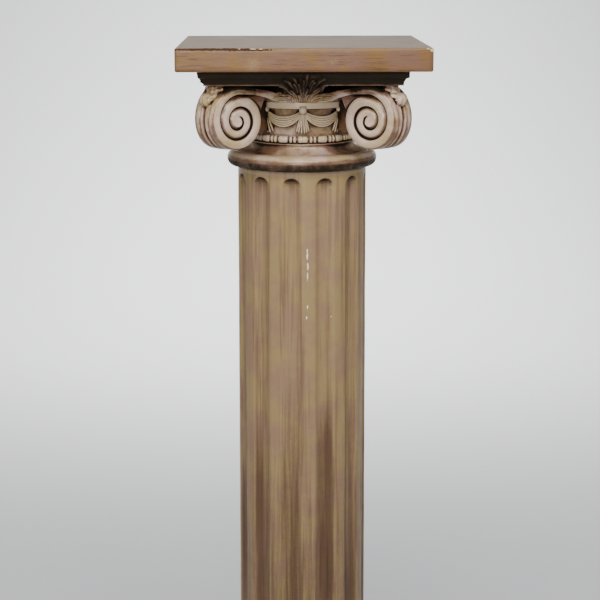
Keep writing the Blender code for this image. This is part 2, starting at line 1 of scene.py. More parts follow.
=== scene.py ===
"""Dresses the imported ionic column: carving, painted and glazed finishes, a plain stage and a camera.

Shapes are modelled in millimetres, with heights up from the floor, and turned to metres at the end.
The front looks along -Y. What repeats on the four sides is carved once and turned round.
"""

import logging
import math
from abc import ABC, abstractmethod
from collections.abc import Callable, Sequence
from dataclasses import dataclass
from enum import Enum

import bmesh
import bpy
from mathutils import Euler, Matrix, Vector, noise
from mathutils.bvhtree import BVHTree


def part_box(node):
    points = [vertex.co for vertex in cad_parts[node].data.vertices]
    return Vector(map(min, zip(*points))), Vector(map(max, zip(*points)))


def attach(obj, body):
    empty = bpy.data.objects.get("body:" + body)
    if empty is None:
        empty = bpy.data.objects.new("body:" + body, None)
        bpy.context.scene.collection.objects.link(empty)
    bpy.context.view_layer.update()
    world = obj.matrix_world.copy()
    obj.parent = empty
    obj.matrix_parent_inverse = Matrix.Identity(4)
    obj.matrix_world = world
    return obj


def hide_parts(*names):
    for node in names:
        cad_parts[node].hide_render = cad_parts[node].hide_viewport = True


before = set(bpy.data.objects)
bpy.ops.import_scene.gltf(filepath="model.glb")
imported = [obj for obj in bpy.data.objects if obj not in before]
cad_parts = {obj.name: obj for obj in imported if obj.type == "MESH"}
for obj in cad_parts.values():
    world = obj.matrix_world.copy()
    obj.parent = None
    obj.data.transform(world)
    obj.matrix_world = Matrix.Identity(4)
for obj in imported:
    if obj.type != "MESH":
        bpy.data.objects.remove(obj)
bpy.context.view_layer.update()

BMesh = bmesh.types.BMesh

LOG = logging.getLogger("ionic_column")
# Metres in a millimetre.
METRES = 0.001
# Points closer than this, in millimetres, become one.
WELD = 0.004


def node_level(node: str, top: bool) -> float:
    """Give the height of a CAD node's top or foot in millimetres."""
    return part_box(node)[1 if top else 0][2] / METRES


PLATE_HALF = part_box("top_plate")[1][0] / METRES
PLATE_TOP = node_level("top_plate", True)
CAPITAL_TOP = node_level("capital", True)
CAPITAL_FOOT = node_level("capital", False)
SHAFT_TOP = node_level("shaft", True)
SHAFT_FOOT = node_level("shaft", False)
BASE_TOP = node_level("base", True)


def under(drop: float) -> float:
    """Give the height of a point that lies a drop below the plate's top."""
    return PLATE_TOP - drop


def fall(point: Vector) -> float:
    """Give how far a point lies below the plate's top."""
    return PLATE_TOP - point.z


def shares(count: int) -> list[float]:
    """List even shares from 0 to 1, one more than the count."""
    return [step / count for step in range(count + 1)]


def blend(low: float, high: float, value: float) -> float:
    """Ease from 0 at low to 1 at high."""
    share = min(1.0, max(0.0, (value - low) / (high - low)))
    return share * share * (3.0 - 2.0 * share)


def through(knots: Sequence[tuple[float, float]], at: float) -> float:
    """Follow a smooth line through knots.

    Args:
        knots: Pairs of place and value, in rising order of place.
        at: The place to read.

    Returns:
        The value there, held level past both ends.
    """
    if at <= knots[0][0]:
        return knots[0][1]
    if at >= knots[-1][0]:
        return knots[-1][1]
    last = len(knots) - 1
    index = next(i for i in range(last) if at <= knots[i + 1][0])
    (x0, y0), (x1, y1) = knots[index], knots[index + 1]
    before = knots[max(index - 1, 0)]
    after = knots[min(index + 2, last)]
    slope0 = (y1 - before[1]) / (x1 - before[0]) * (x1 - x0)
    slope1 = (after[1] - y0) / (after[0] - x0) * (x1 - x0)
    s = (at - x0) / (x1 - x0)
    return ((2 * s**3 - 3 * s**2 + 1) * y0 + (s**3 - 2 * s**2 + s) * slope0
            + (3 * s**2 - 2 * s**3) * y1 + (s**3 - s**2) * slope1)


def round_axis(angle: float, radius: float, level: float) -> Vector:
    """Give the point at an angle from the front, turning towards +X."""
    return Vector((radius * math.sin(angle), -radius * math.cos(angle), level))


def from_axis(point: Vector) -> Vector:
    """Give the level direction from the column's axis to a point."""
    return Vector((point.x, point.y, 0.0)).normalized()


def quarter_turns(count: int) -> Matrix:
    """Give the rotation by a number of quarter turns round the column."""
    return Matrix.Rotation(count * math.pi / 2, 3, "Z")


def across_corner(point: Vector) -> Vector:
    """Mirror a point of the front half across the corner's upright diagonal plane."""
    return Vector((-point.y, -point.x, point.z))


def sheet(bm: BMesh, columns: int, rows: int, place: Callable[[int, int], Vector]) -> None:
    """Lay a grid over a surface. Its seams and poles still have to be welded.

    Args:
        bm: The mesh that takes the grid.
        columns: Number of vertices one way.
        rows: Number of vertices the other way.
        place: Gives the point of a column and a row.
    """
    for vert in bmesh.ops.create_grid(bm, x_segments=columns - 1, y_segments=rows - 1, size=1.0)["verts"]:
        column = round((vert.co.x + 1.0) / 2.0 * (columns - 1))
        row = round((vert.co.y + 1.0) / 2.0 * (rows - 1))
        vert.co = place(column, row)


def weld(bm: BMesh) -> None:
    """Merge doubles, close what is left open and turn the faces outwards."""
    bmesh.ops.remove_doubles(bm, verts=bm.verts, dist=WELD)
    bmesh.ops.dissolve_degenerate(bm, dist=WELD / 4, edges=bm.edges)
    rims = [edge for edge in bm.edges if edge.is_boundary]
    if rims:
        bmesh.ops.holes_fill(bm, edges=rims, sides=0)
    bmesh.ops.recalc_face_normals(bm, faces=bm.faces)


def turn_on_lathe(bm: BMesh, profile: Sequence[tuple[float, float]], steps: int) -> None:
    """Spin a profile of radius and level into a closed body.

    Args:
        bm: The mesh that takes the body.
        profile: Pairs of radius and level, both ends on the axis.
        steps: Number of steps round.
    """
    line = [bm.verts.new((radius, 0.0, level)) for radius, level in profile]
    edges = [bm.edges.new(pair) for pair in zip(line, line[1:])]
    bmesh.ops.spin(bm, geom=line + edges, cent=(0, 0, 0), axis=(0, 0, 1), angle=math.tau,
                   steps=steps, use_merge=True)


def rod(bm: BMesh, path: Sequence[Vector], radii: Sequence[tuple[float, float]], sides: int = 8) -> None:
    """Sweep an oval section along a path round the column, with open ends.

    Args:
        bm: The mesh that takes the rod.
        path: Points of the centre line.
        radii: Half width and half height of the section at each point.
        sides: Number of sides of the section.
    """
    last = len(path) - 1

    def place(column: int, row: int) -> Vector:
        """Give a point of the section's outline at a step of the path."""
        ahead = path[min(row + 1, last)] - path[max(row - 1, 0)]
        side = ahead.cross(from_axis(path[row])).normalized()
        out = side.cross(ahead).normalized()
        turn = math.tau * column / sides
        wide, high = radii[row]
        return path[row] + side * wide * math.cos(turn) + out * high * math.sin(turn)

    sheet(bm, sides + 1, last + 1, place)


def unevenness(point: Vector, size: float, amount: float) -> float:
    """Give a cast surface's slow swell at a point.

    Args:
        point: The point in millimetres.
        size: Distance from one swell to the next.
        amount: Height of the swell.

    Returns:
        The change in millimetres.
    """
    return noise.noise(point / size) * amount


class Turn(Enum):
    """How often a carved shape stands round the column."""

    WHOLE = 1
    QUARTERS = 4


@dataclass
class Carving(ABC):
    """A shape of the column that is carved in one mesh.

    Its fields are its own sizes in millimetres.
    """

    name = "carving"
    node = "capital"
    turn = Turn.QUARTERS
    crease = 38.0

    @abstractmethod
    def shape(self, bm: BMesh) -> None:
        """Carve the shape into an empty mesh."""

    def glaze_and_painted_shade(self, point: Vector) -> float:
        """Give how much glaze was left at a point, over what its hollows hold, with painted shade where the
        light falls short.
        """
        return 0.0

    def carve(self) -> BMesh:
        """Carve the shape and close it."""
        bm = bmesh.new()
        self.shape(bm)
        weld(bm)
        return bm


@dataclass
class TopPlate(Carving):
    """The square plate with softened and slightly chipped arrises."""

    arris: float = 2.2
    pitch: float = 4.0
    side_cuts: int = 6
    chip_size: float = 9.0
    crumb_size: float = 3.0
    chip_depth: float = 2.2
    swell_size: float = 40.0
    swell_depth: float = 0.175

    name = "top_plate_cast"
    node = "top_plate"
    turn = Turn.WHOLE

    def shape(self, bm: BMesh) -> None:
        """Bevel a slab, divide it finely and wear its edges."""
        low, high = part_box("top_plate")
        size = (Vector(high) - Vector(low)) / METRES
        middle = (Vector(high) + Vector(low)) / 2.0 / METRES
        bmesh.ops.create_cube(bm, size=1.0)
        bmesh.ops.scale(bm, vec=size, verts=bm.verts)
        bmesh.ops.translate(bm, vec=middle, verts=bm.verts)
        bmesh.ops.bevel(bm, geom=bm.edges[:], offset=self.arris, offset_type="OFFSET", segments=3,
                        profile=0.5, affect="EDGES", material=-1)
        long_edges = [edge for edge in bm.edges if edge.calc_length() > size.z * 2]
        bmesh.ops.subdivide_edges(bm, edges=long_edges, cuts=round(size.x / self.pitch), use_grid_fill=True)
        risers = [edge for edge in bm.edges if edge.calc_length() > self.pitch * 2]
        bmesh.ops.subdivide_edges(bm, edges=risers, cuts=self.side_cuts, use_grid_fill=True)
        for vert in bm.verts:
            vert.co += self.wear(vert.co.copy())

    def wear(self, point: Vector) -> Vector:
        """Give how far a point is worn back or down.

        Args:
            point: The point on the sharp plate.

        Returns:
            The move in millimetres.
        """
        beyond = max(abs(point.x), abs(point.y)) - (PLATE_HALF - self.arris)
        rise = point.z - under(self.arris)
        edge = min(1.0, max(0.0, beyond) / self.arris) * min(1.0, max(0.0, rise) / self.arris + 0.15)
        ragged = noise.noise(point / self.chip_size) + 0.4 * noise.noise(point / self.crumb_size) - 0.12
        inward = Vector((-point.x, -point.y, 0.0)).normalized()
        sink = Vector((0.0, 0.0, -0.7)) if rise > 0 else Vector()
        move = (inward + sink) * edge * max(0.0, ragged) * self.chip_depth
        if beyond > 0:
            move += inward * abs(unevenness(point, self.swell_size, self.swell_depth))
        return move

    def glaze_and_painted_shade(self, point: Vector) -> float:
        """Leave streaks of glaze on the lower half of the sides, and keep the top pale as a painted sheen."""
        outside = blend(PLATE_HALF - 3.0, PLATE_HALF - 1.0, max(abs(point.x), abs(point.y)))
        streaks = outside * blend(6.0, 17.0, fall(point)) * (0.08 + 0.22 * noise.noise(point / 35.0))
        # The top face gets less glaze and turns paler: a painted sheen.
        return streaks - 0.10 * blend(1.5, 0.4, fall(point))


@dataclass
class Abacus(Carving):
    """The square slab under the plate: a straight fascia over a hollow moulding."""

    half_side: float = 126.8
    fascia: float = 8.6
    hollow: float = 9.4
    depth: float = 6.5

    name = "abacus"
    turn = Turn.WHOLE

    def shape(self, bm: BMesh) -> None:
        """Spin the moulding in four steps, which mitres its corners, and divide it."""
        diagonal = math.sqrt(2.0)
        foot = CAPITAL_TOP - self.fascia
        half = self.half_side
        line = [(0.0, CAPITAL_TOP), (half - 1.2, CAPITAL_TOP), (half - 0.3, CAPITAL_TOP - 0.5),
                (half, CAPITAL_TOP - 1.4), (half, foot + 1.0), (half - 0.4, foot + 0.2), (half - 1.4, foot)]
        for share in shares(6):
            turn = math.pi / 2 * share
            line.append((half - 1.4 - (self.depth - 1.4) * math.sin(turn),
                         foot - 0.2 - (self.hollow - 0.2) * (1.0 - math.cos(turn))))
        line.append((0.0, foot - self.hollow))
        turn_on_lathe(bm, [(radius * diagonal, level) for radius, level in line], 4)
        bmesh.ops.rotate(bm, verts=bm.verts, cent=(0, 0, 0), matrix=Matrix.Rotation(math.pi / 4, 3, "Z"))
        bmesh.ops.remove_doubles(bm, verts=bm.verts, dist=WELD)
        rails = [edge for edge in bm.edges
                 if edge.calc_length() > half and abs(edge.verts[0].co.z - edge.verts[1].co.z) < 0.1
                 and min(abs(v.co.x) for v in edge.verts) + min(abs(v.co.y) for v in edge.verts) > half]
        bmesh.ops.subdivide_edges(bm, edges=rails, cuts=60)
        for vert in bm.verts:
            inward = Vector((-vert.co.x, -vert.co.y, 0.0)) / half
            vert.co += inward * abs(unevenness(vert.co, 24.0, 0.8))

    def glaze_and_painted_shade(self, point: Vector) -> float:
        """Keep the slab nearly black, as dark glaze and painted shade under the plate, with a paler lip at
        its foot.
        """
        lip = blend(45.0, 46.4, fall(point))
        return 1.02 - 0.4 * lip + 0.12 * noise.noise(point / 15.0)


@dataclass
class TurnedNeck(Carving):
    """Torus, cavetto, neck fillet, bell and the flat rail above the swags."""

    torus_radius: float = 86.9
    torus_reach: float = 9.6
    torus_height: float = 18.8
    cavetto_height: float = 11.3
    neck_radius: float = 67.0
    bell_radius: float = 61.6
    rail_radius: float = 69.5
    rail_top: float = 70.4
    rail_foot: float = 79.0
    torus_drop: float = 136.0
    cavetto_drop: float = 124.0
    steps: int = 160

    name = "turned_neck"
    turn = Turn.WHOLE

    def profile(self) -> list[tuple[float, float]]:
        """Draw the outline from the foot of the torus to under the abacus."""
        half = self.torus_height / 2.0
        middle = CAPITAL_FOOT + half
        line = [(0.0, CAPITAL_FOOT), (self.torus_radius - 3.0, CAPITAL_FOOT)]
        for share in shares(16):
            turn = math.pi * (share - 0.5)
            line.append((self.torus_radius + self.torus_reach * math.cos(turn) ** 0.85 - 0.9,
                         middle + half * math.sin(turn)))
        foot = CAPITAL_FOOT + self.torus_height
        crown = foot + self.cavetto_height
        line += [(self.torus_radius - 3.2, foot - 0.5), (self.torus_radius - 3.6, foot + 0.2)]
        sweep = self.torus_radius - 3.0 - self.neck_radius
        for share in shares(10):
            turn = math.pi / 2 * share
            line.append((self.torus_radius - 3.0 - sweep * math.sin(turn) ** 1.2,
                         foot + 1.4 + (self.cavetto_height - 2.2) * (1.0 - math.cos(turn))))
        line += [(self.neck_radius, crown), (self.neck_radius + 0.4, crown + 0.6),
                 (self.neck_radius + 0.2, crown + 1.6), (self.neck_radius - 0.8, crown + 2.1),
                 (self.bell_radius, crown + 2.4)]
        for drop in (110.0, 104.0, 98.0, 92.0, 86.0):
            line.append((self.bell_radius, under(drop)))
        foot, top, reach = self.rail_foot, self.rail_top, self.rail_radius
        line += [(self.bell_radius, under(foot + 0.4)), (self.bell_radius + 2.0, under(foot)),
                 (reach - 0.8, under(foot)), (reach - 0.1, under(foot - 0.7)), (reach, under(foot - 2.0)),
                 (reach - 0.2, under((foot + top) / 2)), (reach, under(top + 2.0)),
                 (reach - 0.1, under(top + 0.7)), (reach - 0.8, under(top)), (self.bell_radius, under(top)),
                 (self.bell_radius, under(60.0)), (self.bell_radius, under(44.0)), (0.0, under(44.0))]
        return line

    def shape(self, bm: BMesh) -> None:
        """Turn the outline and make the surface as uneven as a casting."""
        turn_on_lathe(bm, self.profile(), self.steps)
        for vert in bm.verts:
            drop = fall(vert.co)
            if math.hypot(vert.co.x, vert.co.y) < 10.0:
                continue
            rough = 1.0 if 70.0 < drop < 112.0 else 0.35
            swell = unevenness(vert.co, 9.0, 0.5 * rough) + unevenness(vert.co, 30.0, 0.5)
            vert.co += from_axis(vert.co) * swell

    def glaze_and_painted_shade(self, point: Vector) -> float:
        """Leave glaze and painted shade on the torus's underside, on the cavetto and above the rail, and
        glaze on the bell's ground.
        """
        drop = fall(point)
        cloud = noise.noise(point / 16.0)
        if drop > self.torus_drop:
            # Torus underside: painted shade from the light above, with some glaze.
            return (0.88 + 0.10 * cloud) * blend(137.0, 148.0, drop)
        if drop > self.cavetto_drop:
            # Cavetto: glaze, with painted shade under the bead-and-reel and the volutes' painted shadow
            # towards the corners.
            beside = abs((math.degrees(math.atan2(point.x, -point.y)) + 45.0) % 90.0 - 45.0)
            return 0.26 + 0.2 * cloud + 0.4 * blend(129.0, 124.0, drop) + 0.46 * blend(20.0, 42.0, beside)
        if drop > self.rail_foot + 0.3:
            return 0.20 + 0.16 * cloud
        if math.hypot(point.x, point.y) > self.rail_radius - 2.0:
            return 0.1 * cloud - 0.22
        # Above the rail: painted shade, darker towards the abacus.
        return 0.9 * blend(self.rail_top, 62.0, drop)


@dataclass
class BeadAndReel(Carving):
    """The ring of long beads, each followed by two thin discs."""

    periods: int = 16
    top: float = 112.8
    foot: float = 122.5
    ground: float = 62.6
    reach: float = 67.6
    sunk: float = 3.0
    period_steps: int = 44
    rows: int = 13

    name = "bead_and_reel"
    turn = Turn.WHOLE

    # Middle, half width and squareness of a bead's two halves and of the discs, in shares of a period.
    members = ((0.0, 0.262, 5.0), (1.0, 0.262, 5.0), (0.405, 0.086, 2.4), (0.595, 0.086, 2.4))

    def glaze_and_painted_shade(self, point: Vector) -> float:
        """Keep the beads' fronts wiped clean and the gaps dark."""
        return 0.16 - 0.5 * blend(self.ground + 1.0, self.reach - 1.0, math.hypot(point.x, point.y))

    def swell(self, share: float) -> float:
        """Give how far the moulding stands out at a share of its period."""
        for centre, half, power in self.members:
            offset = abs(share - centre) / half
            if offset < 1.0:
                return (1.0 - offset ** power) ** 0.5
        return 0.0

    def shape(self, bm: BMesh) -> None:
        """Lay the moulding round the neck and close its back."""
        columns = self.periods * self.period_steps
        middle = under((self.top + self.foot) / 2.0)
        half = (self.foot - self.top) / 2.0

        def place(column: int, row: int) -> Vector:
            """Give a point of the beads' fronts."""
            period, step = divmod(column, self.period_steps)
            rise = self.swell(step / self.period_steps) * (0.9 + 0.1 * math.sin(period * 2.3))
            depth = 0.4 + (self.reach - self.ground - 0.4) * rise
            turn = math.pi * (row / (self.rows - 1) - 0.5)
            radius = self.ground - self.sunk + (depth + self.sunk) * max(0.0, math.cos(turn)) ** 0.55
            return round_axis(math.tau * column / columns, radius,
                              middle + half * (0.62 + 0.38 * rise) * math.sin(turn))

        def back(column: int, row: int) -> Vector:
            """Give a point of the ring's back."""
            return place(column, (self.rows - 1) * row)

        sheet(bm, columns + 1, self.rows, place)
        sheet(bm, columns + 1, 2, back)


@dataclass
class Festoons(Carving):
    """Buttons, stranded swags and tassels on each front of the bell."""

    bell: float = 61.6
    button_radius: float = 5.0
    button_drop: float = 80.4
    strands: int = 5
    top_sag: float = 90.0
    foot_sag: float = 100.6
    tassel_foot: float = 110.4
    swag_steps: int = 30
    tassel_steps: int = 12
    spread: float = math.radians(44.0)

    name = "festoons"

    def glaze_and_painted_shade(self, point: Vector) -> float:
        """Keep the strands' fronts wiped and the lines between them dark."""
        return 0.40 - 0.62 * blend(self.bell + 1.8, self.bell + 4.4, math.hypot(point.x, point.y))

    def button(self, bm: BMesh, angle: float) -> None:
        """Add one domed button."""
        centre = round_axis(angle, self.bell + 5.6, under(self.button_drop))
        made = bmesh.ops.create_uvsphere(bm, u_segments=24, v_segments=14, radius=1.0)["verts"]
        size = Matrix.Diagonal((self.button_radius, 6.0, self.button_radius, 1.0))
        place = Matrix.Translation(centre) @ Matrix.Rotation(angle, 4, "Z") @ size
        bmesh.ops.transform(bm, matrix=place, verts=made)

    def swag(self, bm: BMesh, side: float) -> None:
        """Hang the nested strands from the middle button to a side one, over a swollen ground."""
        pitch = self.spread * side
        for share in shares(self.strands - 1):
            sag = self.top_sag + (self.foot_sag - self.top_sag) * share
            begin = self.button_drop + 0.6 + 2.4 * share
            path, radii = [], []
            for along in shares(self.swag_steps):
                belly = (1.0 - (2.0 * along - 1.0) ** 2) ** (0.92 - 0.1 * share)
                lift = 2.2 + 3.0 * belly * (1.0 - 0.5 * abs(share - 0.55)) + 0.6 * (1.0 - belly)
                path.append(round_axis(pitch * along, self.bell + lift, under(begin + (sag - begin) * belly)))
                wide = 0.7 + 0.75 * belly
                radii.append((wide, wide * 1.4))
            rod(bm, path, radii)
        path, radii = [], []
        for along in shares(self.swag_steps):
            belly = 1.0 - (2.0 * along - 1.0) ** 2
            drop = self.button_drop + 2.2 + 13.4 * belly
            path.append(round_axis(pitch * along, self.bell + 0.6, under(drop)))
            radii.append((1.6 + 5.2 * belly, 1.5 + 1.4 * belly))
        rod(bm, path, radii)

    def tassel(self, bm: BMesh, angle: float, count: int, width: float, swing: float = 0.0) -> None:
        """Let the loose strands fan out under a button.

        Args:
            bm: The mesh that takes them.
            angle: The button's place round the bell.
            count: Number of strands.
            width: Half the fan's width at its foot.
            swing: How far its foot hangs to the side.
        """
        for strand in range(count):
            side = (strand / (count - 1) - 0.5) * 2.0
            path, radii = [], []
            for along in shares(self.tassel_steps):
                spread = 2.4 + (width - 2.4) * along ** 1.2
                wave = 0.5 * math.sin(3.0 * along + strand * 1.7)
                drop = self.button_drop + 2.0 + (self.tassel_foot - self.button_drop - 2.0) * along
                drop -= 1.6 * along * side ** 2
                lift = 2.6 + 1.9 * math.sin(math.pi * min(1.0, along * 0.8 + 0.2)) - 0.9 * abs(side)
                offset = side * spread + (wave + swing) * along
                path.append(round_axis(angle + offset / (self.bell + 3.0), self.bell + lift, under(drop)))
                full = (0.75 + 0.6 * along) * (0.35 if along == 1.0 else 1.0)
                radii.append((full, full * 1.1))
            rod(bm, path, radii)

    def shape(self, bm: BMesh) -> None:
        """Carve one front: three buttons with their tassels, and two swags."""
        self.button(bm, 0.0)
        self.tassel(bm, 0.0, 6, 8.4)
        for side in (-1.0, 1.0):
            self.button(bm, side * self.spread)
            self.tassel(bm, side * self.spread, 4, 5.4, -4.4 * side)
            self.swag(bm, side)


@dataclass
class Volute(Carving):
    """A corner's pair of spiral faces, the channelled rim between them and both stems."""

    face_angle: float = math.radians(36.4)
    face_x: float = 18.0
    face_y: float = -66.0
    eye_run: float = 74.5
    eye_drop: float = 89.5
    groove_depth: float = 4.2
    full_turns: float = 2.75
    steps_per_turn: int = 96
    stem_columns: int = 30
    stem_end: float = 14.0
    stem_depth: float = 26.0

    name = "volutes"
    crease = 50.0

    # The spiral's radius at each quarter turn, the stem's two edges by their distance from the middle,
    # and the rim's outline from one face to half way across.
    radii = tuple(zip([i / 4 for i in range(12)],
                      (6.6, 10.6, 13.4, 16.2, 20.4, 22.8, 26.2, 30.75, 34.0, 34.9, 37.6, 42.0)))
    stem_lower = ((30.0, 70.6), (36.0, 68.8), (42.6, 65.4), (50.0, 62.8), (55.0, 61.2), (59.6, 60.0),
                  (68.0, 59.3), (78.0, 58.75))
    stem_upper = ((30.0, 60.0), (36.0, 56.8), (42.6, 54.4), (50.0, 53.0), (59.5, 50.2), (68.0, 48.4),
                  (73.0, 47.6), (78.0, 47.5))
    rim_section = ((0.0, 0.0), (0.03, 0.5), (0.08, 0.8), (0.15, 0.7), (0.2, 0.1), (0.235, -1.0), (0.27, 0.0),
                   (0.32, 0.9), (0.38, 1.2), (0.415, 0.6), (0.43, -0.8), (0.445, -4.4), (0.5, -5.2))

    def glaze_and_painted_shade(self, point: Vector) -> float:
        """Darken the volute towards the abacus as painted shade from the plate, over the glaze on the
        grooves' slopes and the rim.
        """
        drop = fall(point) + 4.0 * noise.noise(point / 14.0)
        face = point if point.x < -point.y else across_corner(point)
        cos, sin = math.cos(self.face_angle), math.sin(self.face_angle)
        right, back = face.x - self.face_x, face.y - self.face_y
        run, depth = cos * right - sin * back, -sin * right - cos * back
        reach = math.hypot(run - self.eye_run, point.z - under(self.eye_drop))
        # Inside the disc and along the stem the glaze lies on the grooves' slopes; the rim has some all over.
        slope = 0.44 * blend(-0.05, -0.6, depth) if reach < 38.0 or run < 50.0 else 0.25
        cloud = noise.noise(point / 11.0)
        # The share that rises towards the abacus is painted shade.
        return slope + 0.95 * blend(65.0, 46.0, drop) + 0.10 * max(0.0, cloud) - 0.04

    def radius(self, turns: float) -> float:
        """Give the spiral's radius after a number of turns."""
        if turns < 0.0:
            return self.radii[0][1] * max(0.0, 1.0 + turns) ** 0.8
        return through(self.radii, turns)

    def on_face(self, run: float, level: float, depth: float) -> Vector:
        """Give a point over the slanting face.

        Args:
            run: Distance along the face from the palmette outwards.
            level: Height.
            depth: Height over the face.

        Returns:
            The point.
        """
        cos, sin = math.cos(self.face_angle), math.sin(self.face_angle)
        return Vector((self.face_x + cos * run - sin * depth, self.face_y - sin * run - cos * depth, level))

    def on_spiral(self, turns: float, radius: float, depth: float) -> Vector:
        """Give a point by its turn round the eye; no turns is inward and a quarter down."""
        angle = turns * math.tau
        return self.on_face(self.eye_run - radius * math.cos(angle),
                            under(self.eye_drop) - radius * math.sin(angle), depth)

    def groove(self, turns: float) -> float:
        """Give how fully the groove is cut, from nothing at the eye to all of its depth."""
        return blend(-0.3, 0.05, turns)

    def stations(self, low: float, high: float, turns: float) -> list[tuple[float, float]]:
        """List the band's section from its inner edge to its outer one.

        Args:
            low: Radius or level of the inner edge.
            high: Radius or level of the outer edge.
            turns: Turns at this place.

        Returns:
            Pairs of radius and height over the face.
        """
        inner = min(1.0, self.radius(turns - 1.0) / 10.0)
        outer = min(1.0, self.radius(turns) / 10.0)
        cut = self.groove_depth * self.groove(turns - 1.0)
        far = self.groove_depth * self.groove(turns)
        rolled = blend(1.75, 1.85, turns)
        span = high - low
        slope = outer * (3.9 + 1.5 * blend(1.3, 1.75, turns))
        grooved = ((high - slope - 0.7 * outer, 0.05), (high - slope, -0.06 * far),
                   (high - 0.55 * slope, -0.42 * far), (high - 0.12 * slope, -0.85 * far),
                   (high + 0.5 * outer, -far))
        round_edge = ((high - 4.2, 0.1), (high - 2.2, -0.15), (high - 1.0, -0.75), (high - 0.25, -1.8),
                      (high, -3.2))
        result = [(low + 0.5 * inner, -cut), (low + 0.75 * inner, -0.6 * cut),
                  (low + 0.95 * inner, -0.22 * cut), (low + 1.35 * inner, -0.05 * cut),
                  (low + 2.2 * inner, 0.12)]
        result += [(low + span * 0.42, 0.3), (low + span * 0.58, 0.3)]
        for near, rim in zip(grooved, round_edge):
            result.append((near[0] + (rim[0] - near[0]) * rolled, near[1] + (rim[1] - near[1]) * rolled))
        return result

    def spiral_section(self, turns: float) -> list[Vector]:
        """Give the band's section after a number of turns, with its ends doubled."""
        low = self.radius(turns - 1.0) if turns > 0.0 else 0.0
        points = [self.on_spiral(turns, radius, depth)
                  for radius, depth in self.stations(low, self.radius(turns), turns)]
        return [points[0], *points, points[-1]]

    def stem_section(self, share: float) -> list[Vector]:
        """Give the stem's section, with a point behind each edge.

        Args:
            share: From 0 over the eye to 1 at the palmette.

        Returns:
            Its points from the lower edge to the upper one.
        """
        run = self.eye_run + (self.stem_end - self.eye_run) * share
        x = self.face_x + math.cos(self.face_angle) * run
        pairs = self.stations(-through(self.stem_lower, x), -through(self.stem_upper, x), self.full_turns)
        proud = 0.6 * blend(0.0, 0.3, share)
        back = -self.stem_depth * min(1.0, share * 6.0)
        points = [self.on_face(run, PLATE_TOP + level, depth + proud) for level, depth in pairs]
        behind = [self.on_face(run, PLATE_TOP + level, depth + back)
                  for level, depth in (pairs[0], pairs[-1])]
        return [behind[0], *points, behind[1]]

    def face(self, bm: BMesh, sections: Sequence[Sequence[Vector]], mirrored: bool) -> None:
        """Lay one face with its stem, and the wall behind the stem.

        Args:
            bm: The mesh that takes them.
            sections: The sections from the eye to the palmette.
            mirrored: True for the corner's second face.
        """
        last = len(sections[0]) - 1
        stem_start = len(sections) - 1 - self.stem_columns

        def place(column: int, row: int) -> Vector:
            """Give a point of a section, on either face."""
            point = sections[column][row]
            return across_corner(point) if mirrored else point

        def rear(column: int, row: int) -> Vector:
            """Give a point of the wall between the stem's two edges."""
            return place(stem_start + column, last * row)

        sheet(bm, len(sections), last + 1, place)
        sheet(bm, self.stem_columns + 1, 2, rear)

    def shape(self, bm: BMesh) -> None:
        """Lay both faces with their stems and webs, and the rim between them."""
        turning = round((self.full_turns + 1.0) * self.steps_per_turn)
        sections = [self.spiral_section(column / self.steps_per_turn - 1.0) for column in range(turning + 1)]
        sections += [self.stem_section(share) for share in shares(self.stem_columns)[1:]]
        for mirrored in (False, True):
            self.face(bm, sections, mirrored)
            self.web(bm, mirrored)
        self.rim(bm)

    def web(self, bm: BMesh, mirrored: bool) -> None:
        """Fill the hollow between the disc and the stem over it with a sunk slope.

        Args:
            bm: The mesh that takes it.
            mirrored: True for the corner's second face.
        """
        last = 24
        depths = ((0.0, -0.9), (0.35, -2.2), (0.75, -3.8), (1.1, -4.4), (1.1, -16.0), (-0.2, -16.0),
                  (0.0, -0.9))

        def place(column: int, row: int) -> Vector:
            """Give a point between the disc's edge and the stem."""
            turns = 1.70 + 0.26 * column / last
            share, depth = depths[row]
            disc = self.on_spiral(turns, self.radius(turns) - 1.2, depth)
            run = self.eye_run - (self.radius(turns) + 9.0 * column / last) * math.cos(turns * math.tau)
            drop = through(self.stem_lower, self.face_x + math.cos(self.face_angle) * run)
            point = disc.lerp(self.on_face(run, under(drop), depth), share)
            return across_corner(point) if mirrored else point

        sheet(bm, last + 1, len(depths), place)

    def rim(self, bm: BMesh) -> None:
        """Lay the channelled rim from one face round to the other."""
        section = list(self.rim_section)
        section += [(1.0 - share, change) for share, change in self.rim_section[-2::-1]]
        steps = self.steps_per_turn

        def place(column: int, row: int) -> Vector:
            """Give a point of the rim's section at a turn."""
            turns = self.full_turns - 1.0 + (column / steps if column <= steps else 0.0)
            share, change = section[row]
            edge_radius, edge_depth = self.stations(self.radius(turns - 1.0), self.radius(turns), turns)[-1]
            front = self.on_spiral(turns, edge_radius + change, edge_depth)
            return front.lerp(across_corner(front), share)

        sheet(bm, steps + 2, len(section), place)


